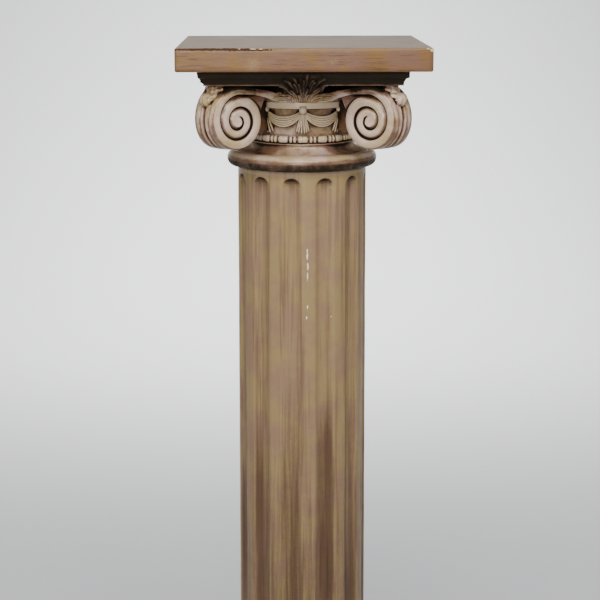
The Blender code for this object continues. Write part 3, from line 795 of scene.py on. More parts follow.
@dataclass
class Arm(Carving):
    """The web behind each volute that joins it to the bell and widens outwards."""

    inner_width: float = 4.0
    outer_width: float = 40.0
    top: float = 43.0
    foot: float = 108.0
    inner_reach: float = 56.0
    reach: float = 134.0

    name = "volute_arms"

    def glaze_and_painted_shade(self, point: Vector) -> float:
        """Keep the web nearly black with dark glaze and painted shade behind the volutes, and brown towards
        its foot.
        """
        return 0.8 - 0.25 * blend(84.0, 104.0, fall(point))

    def shape(self, bm: BMesh) -> None:
        """Set a bevelled wedge along the corner's diagonal."""
        bmesh.ops.create_cube(bm, size=1.0)
        for vert in bm.verts:
            outer = vert.co.x > 0.0
            width = self.outer_width if outer else self.inner_width
            drop = self.top if vert.co.z > 0.0 else self.foot
            vert.co = Vector((self.reach if outer else self.inner_reach, vert.co.y * width, under(drop)))
        bmesh.ops.rotate(bm, verts=bm.verts, cent=(0, 0, 0), matrix=Matrix.Rotation(-math.pi / 4, 3, "Z"))
        bmesh.ops.bevel(bm, geom=bm.edges[:], offset=1.2, offset_type="OFFSET", segments=2, profile=0.5,
                        affect="EDGES", material=-1)
        bmesh.ops.subdivide_edges(bm, edges=[e for e in bm.edges if e.calc_length() > 12.0], cuts=12,
                                  use_grid_fill=True)


@dataclass
class Palmette(Carving):
    """The fan of pointed blades that rises from the rail and leans out before the abacus."""

    rail_radius: float = 69.5
    rail_level: float = 70.4
    front: float = 131.0
    top_level: float = 31.2

    name = "palmettes"
    crease = 60.0

    # Shares of the spine by their rise over the rail. Then lean in degrees, length, half width, lift, number
    # and half spread of each tier's leaflets.
    rises = ((0.0, 0.0), (5.0, 0.12), (9.0, 0.25), (13.0, 0.5), (20.0, 0.75), (28.0, 0.89), (38.2, 1.0))
    tiers = ((44.0, 35.0, 2.9, 1.2, 8, 8.0), (58.0, 30.0, 2.8, 2.6, 7, 12.0), (70.0, 25.0, 2.6, 3.6, 8, 14.0),
             (78.0, 17.0, 2.5, 4.4, 6, 17.0))

    def glaze_and_painted_shade(self, point: Vector) -> float:
        """Leave the fan dark towards its tips, under the plate: dark glaze and painted shade."""
        drop = fall(point)
        return 0.92 * blend(71.0, 50.0, drop) - 0.10 + 0.12 * noise.noise(point / 6.0)

    def spine(self, share: float) -> tuple[Vector, Vector]:
        """Follow the fan's middle line from the rail upwards and outwards.

        Args:
            share: From 0 at the rail to 1 at the tip.

        Returns:
            The point as distance before the axis and level, and the inward direction there.
        """
        control = (Vector((self.rail_radius - 1.0, under(self.rail_level + 1.0))),
                   Vector((self.rail_radius + 4.0, under(50.4))),
                   Vector((self.front, under(self.rail_level - 4.0))),
                   Vector((self.front, under(self.top_level))))
        rest = 1.0 - share
        point = (control[0] * rest ** 3 + control[1] * 3 * rest ** 2 * share
                 + control[2] * 3 * rest * share ** 2 + control[3] * share ** 3)
        slope = ((control[1] - control[0]) * rest ** 2 + (control[2] - control[1]) * 2 * rest * share
                 + (control[3] - control[2]) * share ** 2).normalized()
        return point, Vector((-slope.y, slope.x))

    def on_fan(self, aside: float, rise: float, lift: float) -> Vector:
        """Give a point of the fan by its distances from the middle, over the rail and off the fan."""
        point, inward = self.spine(through(self.rises, rise))
        point = point - inward * lift
        return Vector((aside, -point.x, point.y))

    def leaflet(self, bm: BMesh, root: float, lean: float, length: float, width: float, lift: float) -> None:
        """Add one thin pointed leaflet that curves up and outwards.

        Args:
            bm: The mesh that takes it.
            root: Distance of its root from the middle.
            lean: Its lean from upright.
            length: How far it reaches.
            width: Half its width where it is widest.
            lift: Height of its tip off the fan.
        """
        steps = 14
        section = ((-1.0, -0.8), (-0.45, -0.1), (0.0, 1.0), (0.45, -0.1), (1.0, -0.8), (0.0, -1.4),
                   (-1.0, -0.8))

        def along(share: float) -> Vector:
            """Follow the leaflet's middle line."""
            aside = root + length * math.sin(lean) * share ** 1.35
            rise = length * math.cos(lean) * math.sin(math.pi / 2 * share) ** 0.9
            return self.on_fan(aside, rise, 0.8 + lift * share)

        def place(column: int, row: int) -> Vector:
            """Give a point of the leaflet's section."""
            share = row / steps
            taper = (0.35 + 0.65 * math.sin(math.pi * share ** 0.8)) if row < steps else 0.0
            side, height = section[column]
            here = along(share)
            ahead = along(share + 0.01) - along(share - 0.01) if row else along(0.02) - here
            out = Vector((0.0, -0.94, -0.34))
            across = ahead.cross(out).normalized()
            return here + across * side * width * taper + out * height * 1.3 * taper

        sheet(bm, len(section), steps + 1, place)

    def backing(self, bm: BMesh) -> None:
        """Close the fan behind the leaflets with a plain curved back."""
        columns, rows = 15, 16

        def place(column: int, row: int) -> Vector:
            """Give a point of the fan's back, its front first."""
            if column == 2 * columns:
                return place(0, row)
            share = row / (rows - 1)
            rise = 37.0 * share
            ray = min(column, 2 * columns - 1 - column)
            aside = (2.0 * ray / (columns - 1) - 1.0) * (19.0 + 5.0 * math.sin(math.pi * share))
            if column < columns:
                return self.on_fan(aside, rise, -1.6)
            point = self.on_fan(aside, rise, -14.0)
            return Vector((point.x, point.y, min(point.z, under(38.0))))

        sheet(bm, 2 * columns + 1, rows, place)

    def shape(self, bm: BMesh) -> None:
        """Lay tiers of leaflets over the backing, the lowest in front."""
        self.backing(bm)
        for lean, length, width, lift, count, spread in self.tiers:
            for index in range(count):
                side = 2.0 * index / (count - 1) - 1.0
                stray = 1.0 + 0.1 * math.sin(index * 2.7 + length)
                angle = math.radians(lean) * side * stray
                self.leaflet(bm, side * spread, angle, length * stray, width, lift)


@dataclass
class RailTips(Carving):
    """The small pointed leaves where each stem runs out on the rail."""

    name = "rail_tips"

    def shape(self, bm: BMesh) -> None:
        """Stand three small spikes at both ends of the palmette's foot."""
        for side in (-1.0, 1.0):
            for offset, height, lean in ((21.0, 9.0, 2.5), (25.5, 7.0, 4.5), (30.0, 4.5, 6.0)):
                path, radii = [], []
                for share in shares(8):
                    angle = side * (offset + lean * share) / 72.0
                    path.append(round_axis(angle, 67.5 + 3.5 * share, under(72.0 - height * share)))
                    size = 2.3 * (1.0 - share) ** 0.7 + 0.02
                    radii.append((size, size * 0.8))
                rod(bm, path, radii, 6)


@dataclass
class CornerLeaf(Carving):
    """The acanthus leaf that drops from the abacus corner and curls over the volute."""

    half_width: float = 14.0
    lobes: int = 4

    name = "corner_leaves"
    crease = 60.0

    # The leaf's middle line: share, then distance along the diagonal and drop.
    path = ((0.0, (148.0, 42.0)), (0.2, (151.5, 46.0)), (0.42, (153.0, 51.0)), (0.6, (156.0, 56.0)),
            (0.75, (161.5, 59.5)), (0.87, (167.0, 62.0)), (0.95, (168.0, 65.5)), (1.0, (164.5, 68.0)))

    def glaze_and_painted_shade(self, point: Vector) -> float:
        """Leave glaze in streaks, with more glaze and painted shade towards the abacus."""
        return 0.12 + 0.2 * noise.noise(point / 5.0) + 0.35 * blend(50.0, 44.0, fall(point))

    def spine(self, share: float) -> Vector:
        """Give the leaf's middle line as distance along the diagonal and drop."""
        out = through([(place, pair[0]) for place, pair in self.path], share)
        drop = through([(place, pair[1]) for place, pair in self.path], share)
        return Vector((out, drop))

    def shape(self, bm: BMesh) -> None:
        """Carve the lobed front and close it with a plain back."""
        along = Vector((1.0, -1.0, 0.0)).normalized()
        aside = Vector((1.0, 1.0, 0.0)).normalized()
        wide, long = 41, 49

        def place(column: int, row: int) -> Vector:
            """Give a point of the leaf, its lobed front first and its plain back after."""
            front = column < wide
            index = column if front else 2 * wide - 2 - column
            side = 2.0 * index / (wide - 1) - 1.0
            share = row / (long - 1)
            here = self.spine(share)
            slope = (self.spine(min(1.0, share + 0.02)) - self.spine(max(0.0, share - 0.02))).normalized()
            normal = Vector((slope.y, -slope.x))
            phase = share * self.lobes + 0.9 * abs(side) ** 1.4
            lobe = abs(math.sin(math.pi * phase))
            half = self.half_width * (0.78 + 0.22 * lobe) * (1.0 - 0.35 * blend(0.6, 1.0, share))
            lift = 4.6 * (1.0 - abs(side) ** 1.7) - 3.0 * abs(side) ** 3
            if front:
                fan = 2.5 * math.pi * side * (1.0 - 0.25 * share)
                veins = abs(math.sin(fan + 0.6 * math.sin(5.0 * share)))
                knob = math.exp(-((share - 0.88) / 0.07) ** 2) * (1.0 - side * side)
                lift += 2.2 * veins ** 0.6 - 1.6 + 0.5 * (lobe - 0.5) + 1.6 * knob
            else:
                lift -= 3.4 * (1.0 - abs(side) ** 6)
            point = here + normal * lift
            return along * point.x + aside * side * half + Vector((0.0, 0.0, under(point.y)))

        sheet(bm, 2 * wide - 1, long, place)


@dataclass
class Shaft(Carving):
    """The tapering shaft with its twelve round-headed flutes."""

    top_radius: float = 82.1
    foot_radius: float = 84.1
    flutes: int = 12
    flute_turn: float = math.radians(-10.4)
    flute_share: float = 0.6
    flute_depth: float = 5.5
    top_margin: float = 8.3
    foot_margin: float = 12.0
    fine: int = 32

    name = "fluted_shaft"
    node = "shaft"
    turn = Turn.WHOLE

    def glaze_and_painted_shade(self, point: Vector) -> float:
        """Leave glaze in the flutes, most in their heads and along one side, with a painted shadow under each
        head's top edge.
        """
        # The flute's number, the place across it and how deep the cut is there.
        pitch = math.tau / self.flutes
        level = point.z - SHAFT_FOOT
        angle = math.atan2(point.x, -point.y) - self.flute_turn
        number = math.floor(angle / pitch + 0.5)
        nearest = angle - number * pitch
        radius = math.hypot(point.x, point.y)
        depth = self.cut(nearest * radius, level) / self.flute_depth
        # Streaks come and go along each flute, lie on one side of it, and grow towards the foot; the
        # darkening towards the foot is partly painted shade.
        along = noise.noise(Vector((number * 3.7, 0.0, level / 130.0)))
        below = SHAFT_TOP - point.z
        low = blend(650.0, 200.0, level)
        lean = max(0.0, nearest / pitch * 3.4 * math.sin(1.4 * number) * (0.8 + along))
        strength = 0.06 + 0.14 * along + (0.34 + 0.30 * low) * lean * blend(20.0, 110.0, below)
        head = 0.30 * blend(36.0, 14.0, below) * depth
        # Painted shadow under the round top edge of each flute head.
        head_shadow = 0.8 * blend(17.0, 9.5, below) * blend(0.02, 0.3, depth)
        rim = -0.12 * blend(9.0, 1.0, below)
        return depth * (strength + 0.10 * low) + head + head_shadow + rim + 0.25 * low

    def levels(self) -> list[float]:
        """List the rings' heights, close together at the heads of the flutes."""
        height = SHAFT_TOP - SHAFT_FOOT
        fine_zone = 26.0
        steps = [0.0, 0.4, 1.2, 2.4]
        steps += [2.4 + (fine_zone - 2.4) * i / 26 for i in range(1, 27)]
        body = height - 2 * (fine_zone + 6.0)
        down = [height - step for step in steps]
        middle = [fine_zone + 6.0 + body * i / 60 for i in range(61)]
        foot = [0.0, 0.5, 1.5, 3.0] + [3.0 + (fine_zone + 3.0) * i / 28 for i in range(1, 29)]
        return sorted(set(foot + middle + down))

    def cut(self, offset: float, level: float) -> float:
        """Give the flute's depth.

        Args:
            offset: Distance from the flute's middle line.
            level: Height over the shaft's foot.

        Returns:
            The depth in millimetres, softened at the arris.
        """
        half = self.top_radius * math.sin(self.flute_share * math.pi / self.flutes)
        radius = (half ** 2 + self.flute_depth ** 2) / (2.0 * self.flute_depth)
        stand_off = radius - self.flute_depth
        head = SHAFT_TOP - SHAFT_FOOT - self.top_margin - half
        foot = self.foot_margin + half
        past = max(0.0, level - head, foot - level)
        away = math.hypot(offset, past)
        if 0.0 < past and away < half:
            away *= (away / half) ** (1.6 * past / half)
        inside = radius ** 2 - away ** 2
        depth = math.sqrt(inside) - stand_off if inside > 0.0 else -2.0
        soft = 0.35
        return 0.5 * (depth + math.sqrt(depth * depth + soft * soft)) if depth > -2.0 else 0.0

    def shape(self, bm: BMesh) -> None:
        """Lay the fluted wall and close both ends."""
        levels = self.levels()
        height = SHAFT_TOP - SHAFT_FOOT
        columns = self.flutes * self.fine
        pitch = math.tau / self.flutes

        def place(column: int, row: int) -> Vector:
            """Give a point of the fluted wall."""
            angle = math.tau * column / columns
            level = levels[row]
            radius = self.foot_radius + (self.top_radius - self.foot_radius) * level / height
            nearest = (angle + pitch / 2) % pitch - pitch / 2
            depth = self.cut(nearest * radius, level)
            end = min(level, height - level)
            radius -= depth + 0.8 * (1.0 - min(1.0, end / 1.2)) ** 2
            point = round_axis(angle + self.flute_turn, radius, SHAFT_FOOT + level)
            swell = unevenness(Vector((point.x, point.y, point.z * 0.3)), 22.0, 0.35)
            return point + from_axis(point) * min(0.0, swell - 0.1) * (1.0 if 2.0 < end else 0.0)

        sheet(bm, columns + 1, len(levels), place)


@dataclass
class MouldedBase(Carving):
    """The foot, in keeping and plainer: a square plinth, two tori and a scotia between them."""

    plinth_half: float = 120.0
    plinth_height: float = 36.0
    lower_reach: float = 117.0
    lower_torus: float = 26.0
    fillet: float = 3.0
    scotia: float = 16.0
    scotia_depth: float = 7.0
    upper_reach: float = 100.1
    upper_torus: float = 18.0
    collar: float = 89.1

    name = "moulded_base"
    node = "base"
    turn = Turn.WHOLE

    @staticmethod
    def torus(reach: float, foot: float, height: float, steps: int) -> list[tuple[float, float]]:
        """Draw a half-round moulding upwards.

        Args:
            reach: Its greatest radius.
            foot: Level of its foot.
            height: Its height.
            steps: Number of steps.

        Returns:
            Pairs of radius and level.
        """
        half = height / 2.0
        turns = [math.pi * (share - 0.5) for share in shares(steps)]
        return [(reach - half + half * math.cos(turn), foot + half + half * math.sin(turn)) for turn in turns]

    def profile(self) -> list[tuple[float, float]]:
        """Draw the turned part's outline."""
        low_fillet = self.lower_reach - self.lower_torus * 0.35
        high_fillet = self.upper_reach - self.upper_torus * 0.25
        foot = self.plinth_height - 2.0
        line = [(0.0, foot), (self.lower_reach - self.lower_torus / 2, foot)]
        line += self.torus(self.lower_reach, self.plinth_height, self.lower_torus, 14)
        level = self.plinth_height + self.lower_torus
        line += [(low_fillet, level + 0.1), (low_fillet, level + self.fillet)]
        level += self.fillet
        for share in shares(12)[1:-1]:
            radius = low_fillet + (high_fillet - low_fillet) * share
            line.append((radius - self.scotia_depth * math.sin(math.pi * share), level + self.scotia * share))
        level += self.scotia
        line += [(high_fillet, level), (high_fillet, level + self.fillet)]
        level += self.fillet
        line += self.torus(self.upper_reach, level, self.upper_torus, 12)
        level += self.upper_torus
        line += [(self.collar, level + 0.1), (self.collar, BASE_TOP - 0.8), (self.collar - 0.8, BASE_TOP),
                 (0.0, BASE_TOP)]
        return line

    def shape(self, bm: BMesh) -> None:
        """Turn the mouldings and set them on the plinth."""
        turn_on_lathe(bm, self.profile(), 144)
        plinth = bmesh.ops.create_cube(bm, size=1.0)["verts"]
        side = self.plinth_half * 2
        bmesh.ops.scale(bm, vec=(side, side, self.plinth_height), verts=plinth)
        bmesh.ops.translate(bm, vec=(0.0, 0.0, self.plinth_height / 2), verts=plinth)
        edges = list({edge for vert in plinth for edge in vert.link_edges})
        bmesh.ops.bevel(bm, geom=edges, offset=2.2, offset_type="OFFSET", segments=3, profile=0.5,
                        affect="EDGES", material=-1)


class HollowMeter:
    """Measures how far each point of the carving lies in a hollow, where glaze settles, and how sheltered it
    is, which the paint darkens as painted shade.
    """

    # How far a ray may run for shelter, and for a hollow.
    reach = 45.0
    close = 7.0

    def __init__(self, carved: Sequence[tuple[Carving, BMesh]]) -> None:
        """Gather all the shapes, the quarter ones turned to all four sides."""
        points: list[Vector] = []
        faces: list[tuple[int, ...]] = []
        for carving, bm in carved:
            bm.verts.index_update()
            for quarter in range(carving.turn.value):
                spin = quarter_turns(quarter)
                start = len(points)
                points.extend(spin @ vert.co for vert in bm.verts)
                faces.extend(tuple(start + vert.index for vert in face.verts) for face in bm.faces)
        self.tree = BVHTree.FromPolygons(points, faces)
        self.rays = self.directions(18)

    @staticmethod
    def directions(count: int) -> list[Vector]:
        """Spread directions evenly over a hemisphere, closer together near its pole."""
        golden = math.pi * (3.0 - math.sqrt(5.0))
        rays = []
        for i in range(count):
            up = math.sqrt(1.0 - (i + 0.5) / count)
            flat = math.sqrt(max(0.0, 1.0 - up * up))
            rays.append(Vector((flat * math.cos(golden * i), flat * math.sin(golden * i), up)))
        return rays

    def measure(self, carving: Carving, bm: BMesh) -> None:
        """Write the two shares, recess for near hits and shelter for far ones, on a mesh.

        Args:
            carving: The shape, which adds its glaze and painted shade to the recess.
            bm: Its mesh.
        """
        recess = bm.verts.layers.float.new("recess")
        shelter = bm.verts.layers.float.new("shelter")
        bm.normal_update()
        for vert in bm.verts:
            normal = vert.normal if vert.normal.length > 0.5 else Vector((0.0, 0.0, 1.0))
            turn = normal.to_track_quat("Z", "Y")
            origin = vert.co + normal * 0.25
            near = far = 0.0
            for ray in self.rays:
                hit = self.tree.ray_cast(origin, turn @ ray, self.reach)
                if hit[0] is not None:
                    near += max(0.0, 1.0 - hit[3] / self.close)
                    far += 1.0 - hit[3] / self.reach
            keen = min(1.0, max(0.0, vert.calc_shell_factor() - 1.04) * 5.0)
            wiped = 0.10 * keen * max(0.0, 1.0 - 6.0 * near / len(self.rays))
            vert[recess] = near / len(self.rays) + carving.glaze_and_painted_shade(vert.co) - wiped
            # Shelter, from far hits, turns into painted shade in the paint.
            vert[shelter] = far / len(self.rays)


def linear(hex_colour: str) -> tuple[float, float, float, float]:
    """Turn an sRGB hex value into linear colour."""
    values = [int(hex_colour[i:i + 2], 16) / 255.0 for i in (1, 3, 5)]
    return (*[v / 12.92 if v <= 0.04045 else ((v + 0.055) / 1.055) ** 2.4 for v in values], 1.0)


def add_node(tree: bpy.types.NodeTree, kind: str, settings: dict[str, object] | None = None,
             inputs: dict[str | int, object] | None = None) -> bpy.types.Node:
    """Add a shader node with its settings and links.

    Args:
        tree: The node tree.
        kind: The node's type.
        settings: Values of the node's own options.
        inputs: For each input, by name or place, its value, or the socket or node that feeds it. A node
            feeds it by its first output.

    Returns:
        The node.
    """
    node = tree.nodes.new(kind)
    for option, value in (settings or {}).items():
        setattr(node, option, value)
    for key, value in (inputs or {}).items():
        feed = value.outputs[0] if isinstance(value, bpy.types.Node) else value
        if isinstance(feed, bpy.types.NodeSocket):
            tree.links.new(feed, node.inputs[key])
        else:
            node.inputs[key].default_value = feed
    return node


MATH = "ShaderNodeMath"
RANGE = "ShaderNodeMapRange"
SMOOTH = {"interpolation_type": "SMOOTHSTEP"}
PLUS = {"operation": "ADD"}
TIMES = {"operation": "MULTIPLY"}
TIMES_PLUS = {"operation": "MULTIPLY_ADD"}


class Brush(Enum):
    """The way in which the glaze was drawn over a piece, as the pattern's stretch along each axis."""

    UPRIGHT = (1.0, 1.0, 0.03)
    LEVEL = (0.045, 0.045, 1.0)
    DABBED = (0.6, 0.6, 0.6)


@dataclass(frozen=True)
class Chip:
    """A spot where the paint is gone, as its place and half sizes in millimetres.

    The plaster under it shows cream, and a rubbed spot shows the brown ground.
    """

    place: tuple[float, float, float]
    size: tuple[float, float, float]
    colour: str = "#D9D2BC"


@dataclass(frozen=True)
class GlazedPaint:
    """Satin oil paint on cast resin, brushed with a thin dark glaze and wiped.

    The glaze stays in the hollows and in streaks along the brush, and the arrises are wiped pale. Painted
    shade darkens sheltered parts towards black. Colours are sRGB, and sizes are millimetres.
    """

    name: str
    body: str
    tint: str
    glaze: str
    shade_and_deep_glaze: str
    pale: str
    brush: Brush
    streak_size: float
    streak_range: tuple[float, float]
    streak_amount: float
    roughness: float
    coat: float = 0.0
    chips: tuple[Chip, ...] = ()

    mottle_size = 38.0
    grain_size = 2.2
    bump_height = 0.35
    ior = 1.48
    warm_gloss = "#FFE6C4"
    even = (1.0, 1.0, 1.0)

    def material(self) -> bpy.types.Material:
        """Build the material: paint, glaze in streaks and hollows, painted shade, wiped arrises and painted
        sheen, chips, then gloss.
        """
        made = bpy.data.materials.new(self.name)
        made.use_nodes = True
        tree = made.node_tree
        tree.nodes.clear()
        place = add_node(tree, "ShaderNodeTexCoord").outputs["Object"]
        mottle = self.cloud(tree, place, self.even, self.mottle_size, 3.0)
        grain = self.cloud(tree, place, self.even, self.grain_size, 4.0)
        patch = self.cloud(tree, place, self.brush.value, self.streak_size * 3.0, 3.0)
        streak = self.cloud(tree, place, self.brush.value, self.streak_size, 5.0)

        low, high = self.streak_range
        mottled = add_node(tree, RANGE, SMOOTH, {"Value": mottle, "From Min": 0.38, "From Max": 0.62})
        wiped = add_node(tree, RANGE, SMOOTH, {"Value": streak, "From Min": low, "From Max": high})
        wide = add_node(tree, RANGE, SMOOTH, {"Value": patch, "From Min": 0.36, "From Max": 0.66})
        streaked = add_node(tree, MATH, TIMES, {0: wiped, 1: wide})
        streaked = add_node(tree, MATH, TIMES, {0: streaked, 1: self.streak_amount})

        recess = add_node(tree, "ShaderNodeAttribute", {"attribute_name": "recess"}).outputs["Fac"]
        shelter = add_node(tree, "ShaderNodeAttribute", {"attribute_name": "shelter"}).outputs["Fac"]
        flecks = add_node(tree, MATH, TIMES_PLUS, {0: grain, 1: 0.16, 2: -0.08})
        strokes = add_node(tree, MATH, TIMES_PLUS, {0: streak, 1: 0.4, 2: -0.2})
        broken = add_node(tree, MATH, PLUS, {0: flecks, 1: strokes})
        held = add_node(tree, MATH, PLUS, {0: recess, 1: broken})
        glaze_and_painted_shade = add_node(tree, RANGE, SMOOTH, {"Value": held, "From Min": 0.08, "From Max": 0.50})
        glaze_and_painted_shade = add_node(tree, MATH, TIMES, {0: glaze_and_painted_shade, 1: 0.85})
        # Sheltered parts and the fullest glaze go near black: painted shade over deep glaze.
        shaded = add_node(tree, MATH, TIMES_PLUS, {0: shelter, 1: 0.25, 2: held})
        black = add_node(tree, RANGE, SMOOTH, {"Value": shaded, "From Min": 0.58, "From Max": 0.95})
        # Pale where the glaze is wiped off raised parts; on the plate's top it is a painted sheen.
        keen = add_node(tree, MATH, TIMES_PLUS, {0: grain, 1: -0.06, 2: recess})
        wiped_and_sheen = add_node(tree, RANGE, SMOOTH, {"Value": keen, "From Min": -0.04, "From Max": -0.12})
        wiped_and_sheen = add_node(tree, MATH, TIMES, {0: wiped_and_sheen, 1: 0.5})

        layers = [(mottled, self.tint), (streaked, self.glaze), (glaze_and_painted_shade, self.glaze), (black, self.shade_and_deep_glaze),
                  (wiped_and_sheen, self.pale)]
        matt = black
        for chip in self.chips:
            gone = self.chipped(tree, place, grain, chip)
            layers.append((gone, chip.colour))
            matt = add_node(tree, MATH, {"operation": "MAXIMUM"}, {0: matt, 1: gone})
        colour = linear(self.body)
        for share, over in layers:
            mixed = add_node(tree, "ShaderNodeMix", {"data_type": "RGBA"},
                             {0: share, 6: colour, 7: linear(over)})
            colour = mixed.outputs[2]

        rough = add_node(tree, MATH, TIMES_PLUS, {0: mottle, 1: 0.16, 2: self.roughness - 0.08})
        rough = add_node(tree, MATH, TIMES_PLUS, {0: matt, 1: 0.45, 2: rough})
        coat = add_node(tree, MATH, TIMES_PLUS, {0: matt, 1: -self.coat, 2: self.coat})
        height = add_node(tree, MATH, TIMES_PLUS, {0: streak, 1: 0.6, 2: grain})
        bump = add_node(tree, "ShaderNodeBump", inputs={
            "Strength": 0.5, "Distance": self.bump_height * METRES, "Height": height})
        shader = add_node(tree, "ShaderNodeBsdfPrincipled", inputs={
            "Base Color": colour, "Roughness": rough, "IOR": self.ior, "Normal": bump,
            "Specular Tint": linear(self.warm_gloss), "Coat Weight": coat, "Coat Roughness": 0.25})
        add_node(tree, "ShaderNodeOutputMaterial", inputs={"Surface": shader})
        return made

    @staticmethod
    def cloud(tree: bpy.types.NodeTree, place: bpy.types.NodeSocket, stretch: Sequence[float], size: float,
              detail: float) -> bpy.types.Node:
        """Lay cloudy noise over the piece.

        Args:
            tree: The node tree.
            place: The point on the piece.
            stretch: How quickly the noise changes along each axis.
            size: The size of its patches in millimetres.
            detail: How many finer layers it has.

        Returns:
            The noise node.
        """
        scale = tuple(value / (size * METRES) for value in stretch)
        mapped = add_node(tree, "ShaderNodeMapping", inputs={"Vector": place, "Scale": scale})
        return add_node(tree, "ShaderNodeTexNoise", inputs={"Vector": mapped, "Scale": 1.0, "Detail": detail,
                                                            "Roughness": 0.6})

    @staticmethod
    def chipped(tree: bpy.types.NodeTree, place: bpy.types.NodeSocket, grain: bpy.types.Node,
                chip: Chip) -> bpy.types.Node:
        """Mask the ragged spot of one chip.

        Args:
            tree: The node tree.
            place: The point on the piece.
            grain: The fine noise that tears the spot's edge.
            chip: The spot.

        Returns:
            The node that is 1 inside the spot and 0 outside.
        """
        middle = tuple(value * METRES for value in chip.place)
        halves = tuple(value * METRES for value in chip.size)
        offset = add_node(tree, "ShaderNodeVectorMath", {"operation": "SUBTRACT"}, {0: place, 1: middle})
        scaled = add_node(tree, "ShaderNodeVectorMath", {"operation": "DIVIDE"}, {0: offset, 1: halves})
        away = add_node(tree, "ShaderNodeVectorMath", {"operation": "LENGTH"}, {0: scaled})
        torn = add_node(tree, MATH, TIMES_PLUS, {0: grain, 1: 2.4, 2: -1.2})
        ragged = add_node(tree, MATH, PLUS, {0: away.outputs["Value"], 1: torn})
        return add_node(tree, RANGE, SMOOTH, {"Value": ragged, "From Min": 1.05, "From Max": 0.9})


PLATE_CHIPS = (Chip((-104.0, -152.0, 1014.4), (60.0, 6.0, 1.4), "#38201A"),
               Chip((-70.0, -152.0, 1013.8), (30.0, 6.0, 1.4), "#38201A"),
               Chip((-60.0, -151.5, 1014.9), (3.4, 3.0, 0.7), "#B9AC8C"),
               Chip((-50.5, -151.5, 1015.0), (3.0, 3.0, 0.6), "#B9AC8C"),
               Chip((-76.0, -151.5, 1015.0), (1.4, 3.0, 0.5), "#B9AC8C"),
               Chip((150.8, -151.0, 1013.4), (2.4, 3.0, 2.2), "#B9AC8C"),
               Chip((146.0, -151.5, 1015.0), (1.6, 2.0, 0.9), "#B9AC8C"))
SHAFT_CHIPS = (Chip((5.2, -82.4, 757.0), (1.0, 3.0, 7.0)), Chip((5.8, -82.4, 742.0), (1.0, 3.0, 4.6)),
               Chip((5.4, -82.4, 729.0), (0.7, 3.0, 5.0)), Chip((5.4, -82.6, 690.0), (0.8, 3.0, 2.4)),
               Chip((4.2, -82.6, 676.0), (0.8, 3.0, 1.8)), Chip((35.5, -75.0, 676.0), (0.8, 4.0, 1.4)))


# Each CAD node's finish. The eye sees a golden, glossy slab with level plum strokes and a top kept pale as
# painted sheen; a pinkish cream capital, warm where it is wiped and almost black under the abacus from dark
# glaze and painted shade; an olive tan shaft with upright plum streaks; and a plainer brown foot.
PAINTS = {
    "top_plate": GlazedPaint(
        name="ochre_paint_brown_glaze_and_painted_light", body="#6A4C26", tint="#66483A", glaze="#3A1A1C", shade_and_deep_glaze="#1C0E08",
        pale="#9A865E", brush=Brush.LEVEL, streak_size=1.2, streak_range=(0.51, 0.63), streak_amount=0.75,
        roughness=0.42, coat=0.12, chips=PLATE_CHIPS),
    "capital": GlazedPaint(
        name="pinkish_paint_umber_glaze_and_painted_shade", body="#BBA192", tint="#A38D66", glaze="#54301C", shade_and_deep_glaze="#030100",
        pale="#DCCAAE", brush=Brush.DABBED, streak_size=5.0, streak_range=(0.52, 0.75), streak_amount=0.35,
        roughness=0.30, coat=0.35),
    "shaft": GlazedPaint(
        name="tan_paint_plum_glaze_and_painted_shade", body="#8B7652", tint="#856B55", glaze="#40291E", shade_and_deep_glaze="#1C0F0A",
        pale="#A3938A", brush=Brush.UPRIGHT, streak_size=4.0, streak_range=(0.42, 0.62), streak_amount=0.45,
        roughness=0.38, chips=SHAFT_CHIPS),
    "base": GlazedPaint(
        name="tan_paint_brown_glaze", body="#86683E", tint="#80643A", glaze="#4A2A1E", shade_and_deep_glaze="#1C0F0A",
        pale="#A08860", brush=Brush.DABBED, streak_size=6.0, streak_range=(0.48, 0.66), streak_amount=0.5,
        roughness=0.40),
}


@dataclass(frozen=True)
class SoftBox:
    """A soft light with a rectangular face, in metres and watts."""

    name: str
    place: tuple[float, float, float]
    aim: tuple[float, float, float]
    size: tuple[float, float]
    power: float

    def hang(self) -> None:
        """Hang the light and turn its face to its aim."""
        data = bpy.data.lights.new(self.name, "AREA")
        data.shape = "RECTANGLE"
        data.size, data.size_y = self.size
        data.energy = self.power
        light = bpy.data.objects.new(self.name, data)
        light.location = self.place
        light.rotation_euler = (Vector(self.aim) - Vector(self.place)).to_track_quat("-Z", "Y").to_euler()
        bpy.context.scene.collection.objects.link(light)


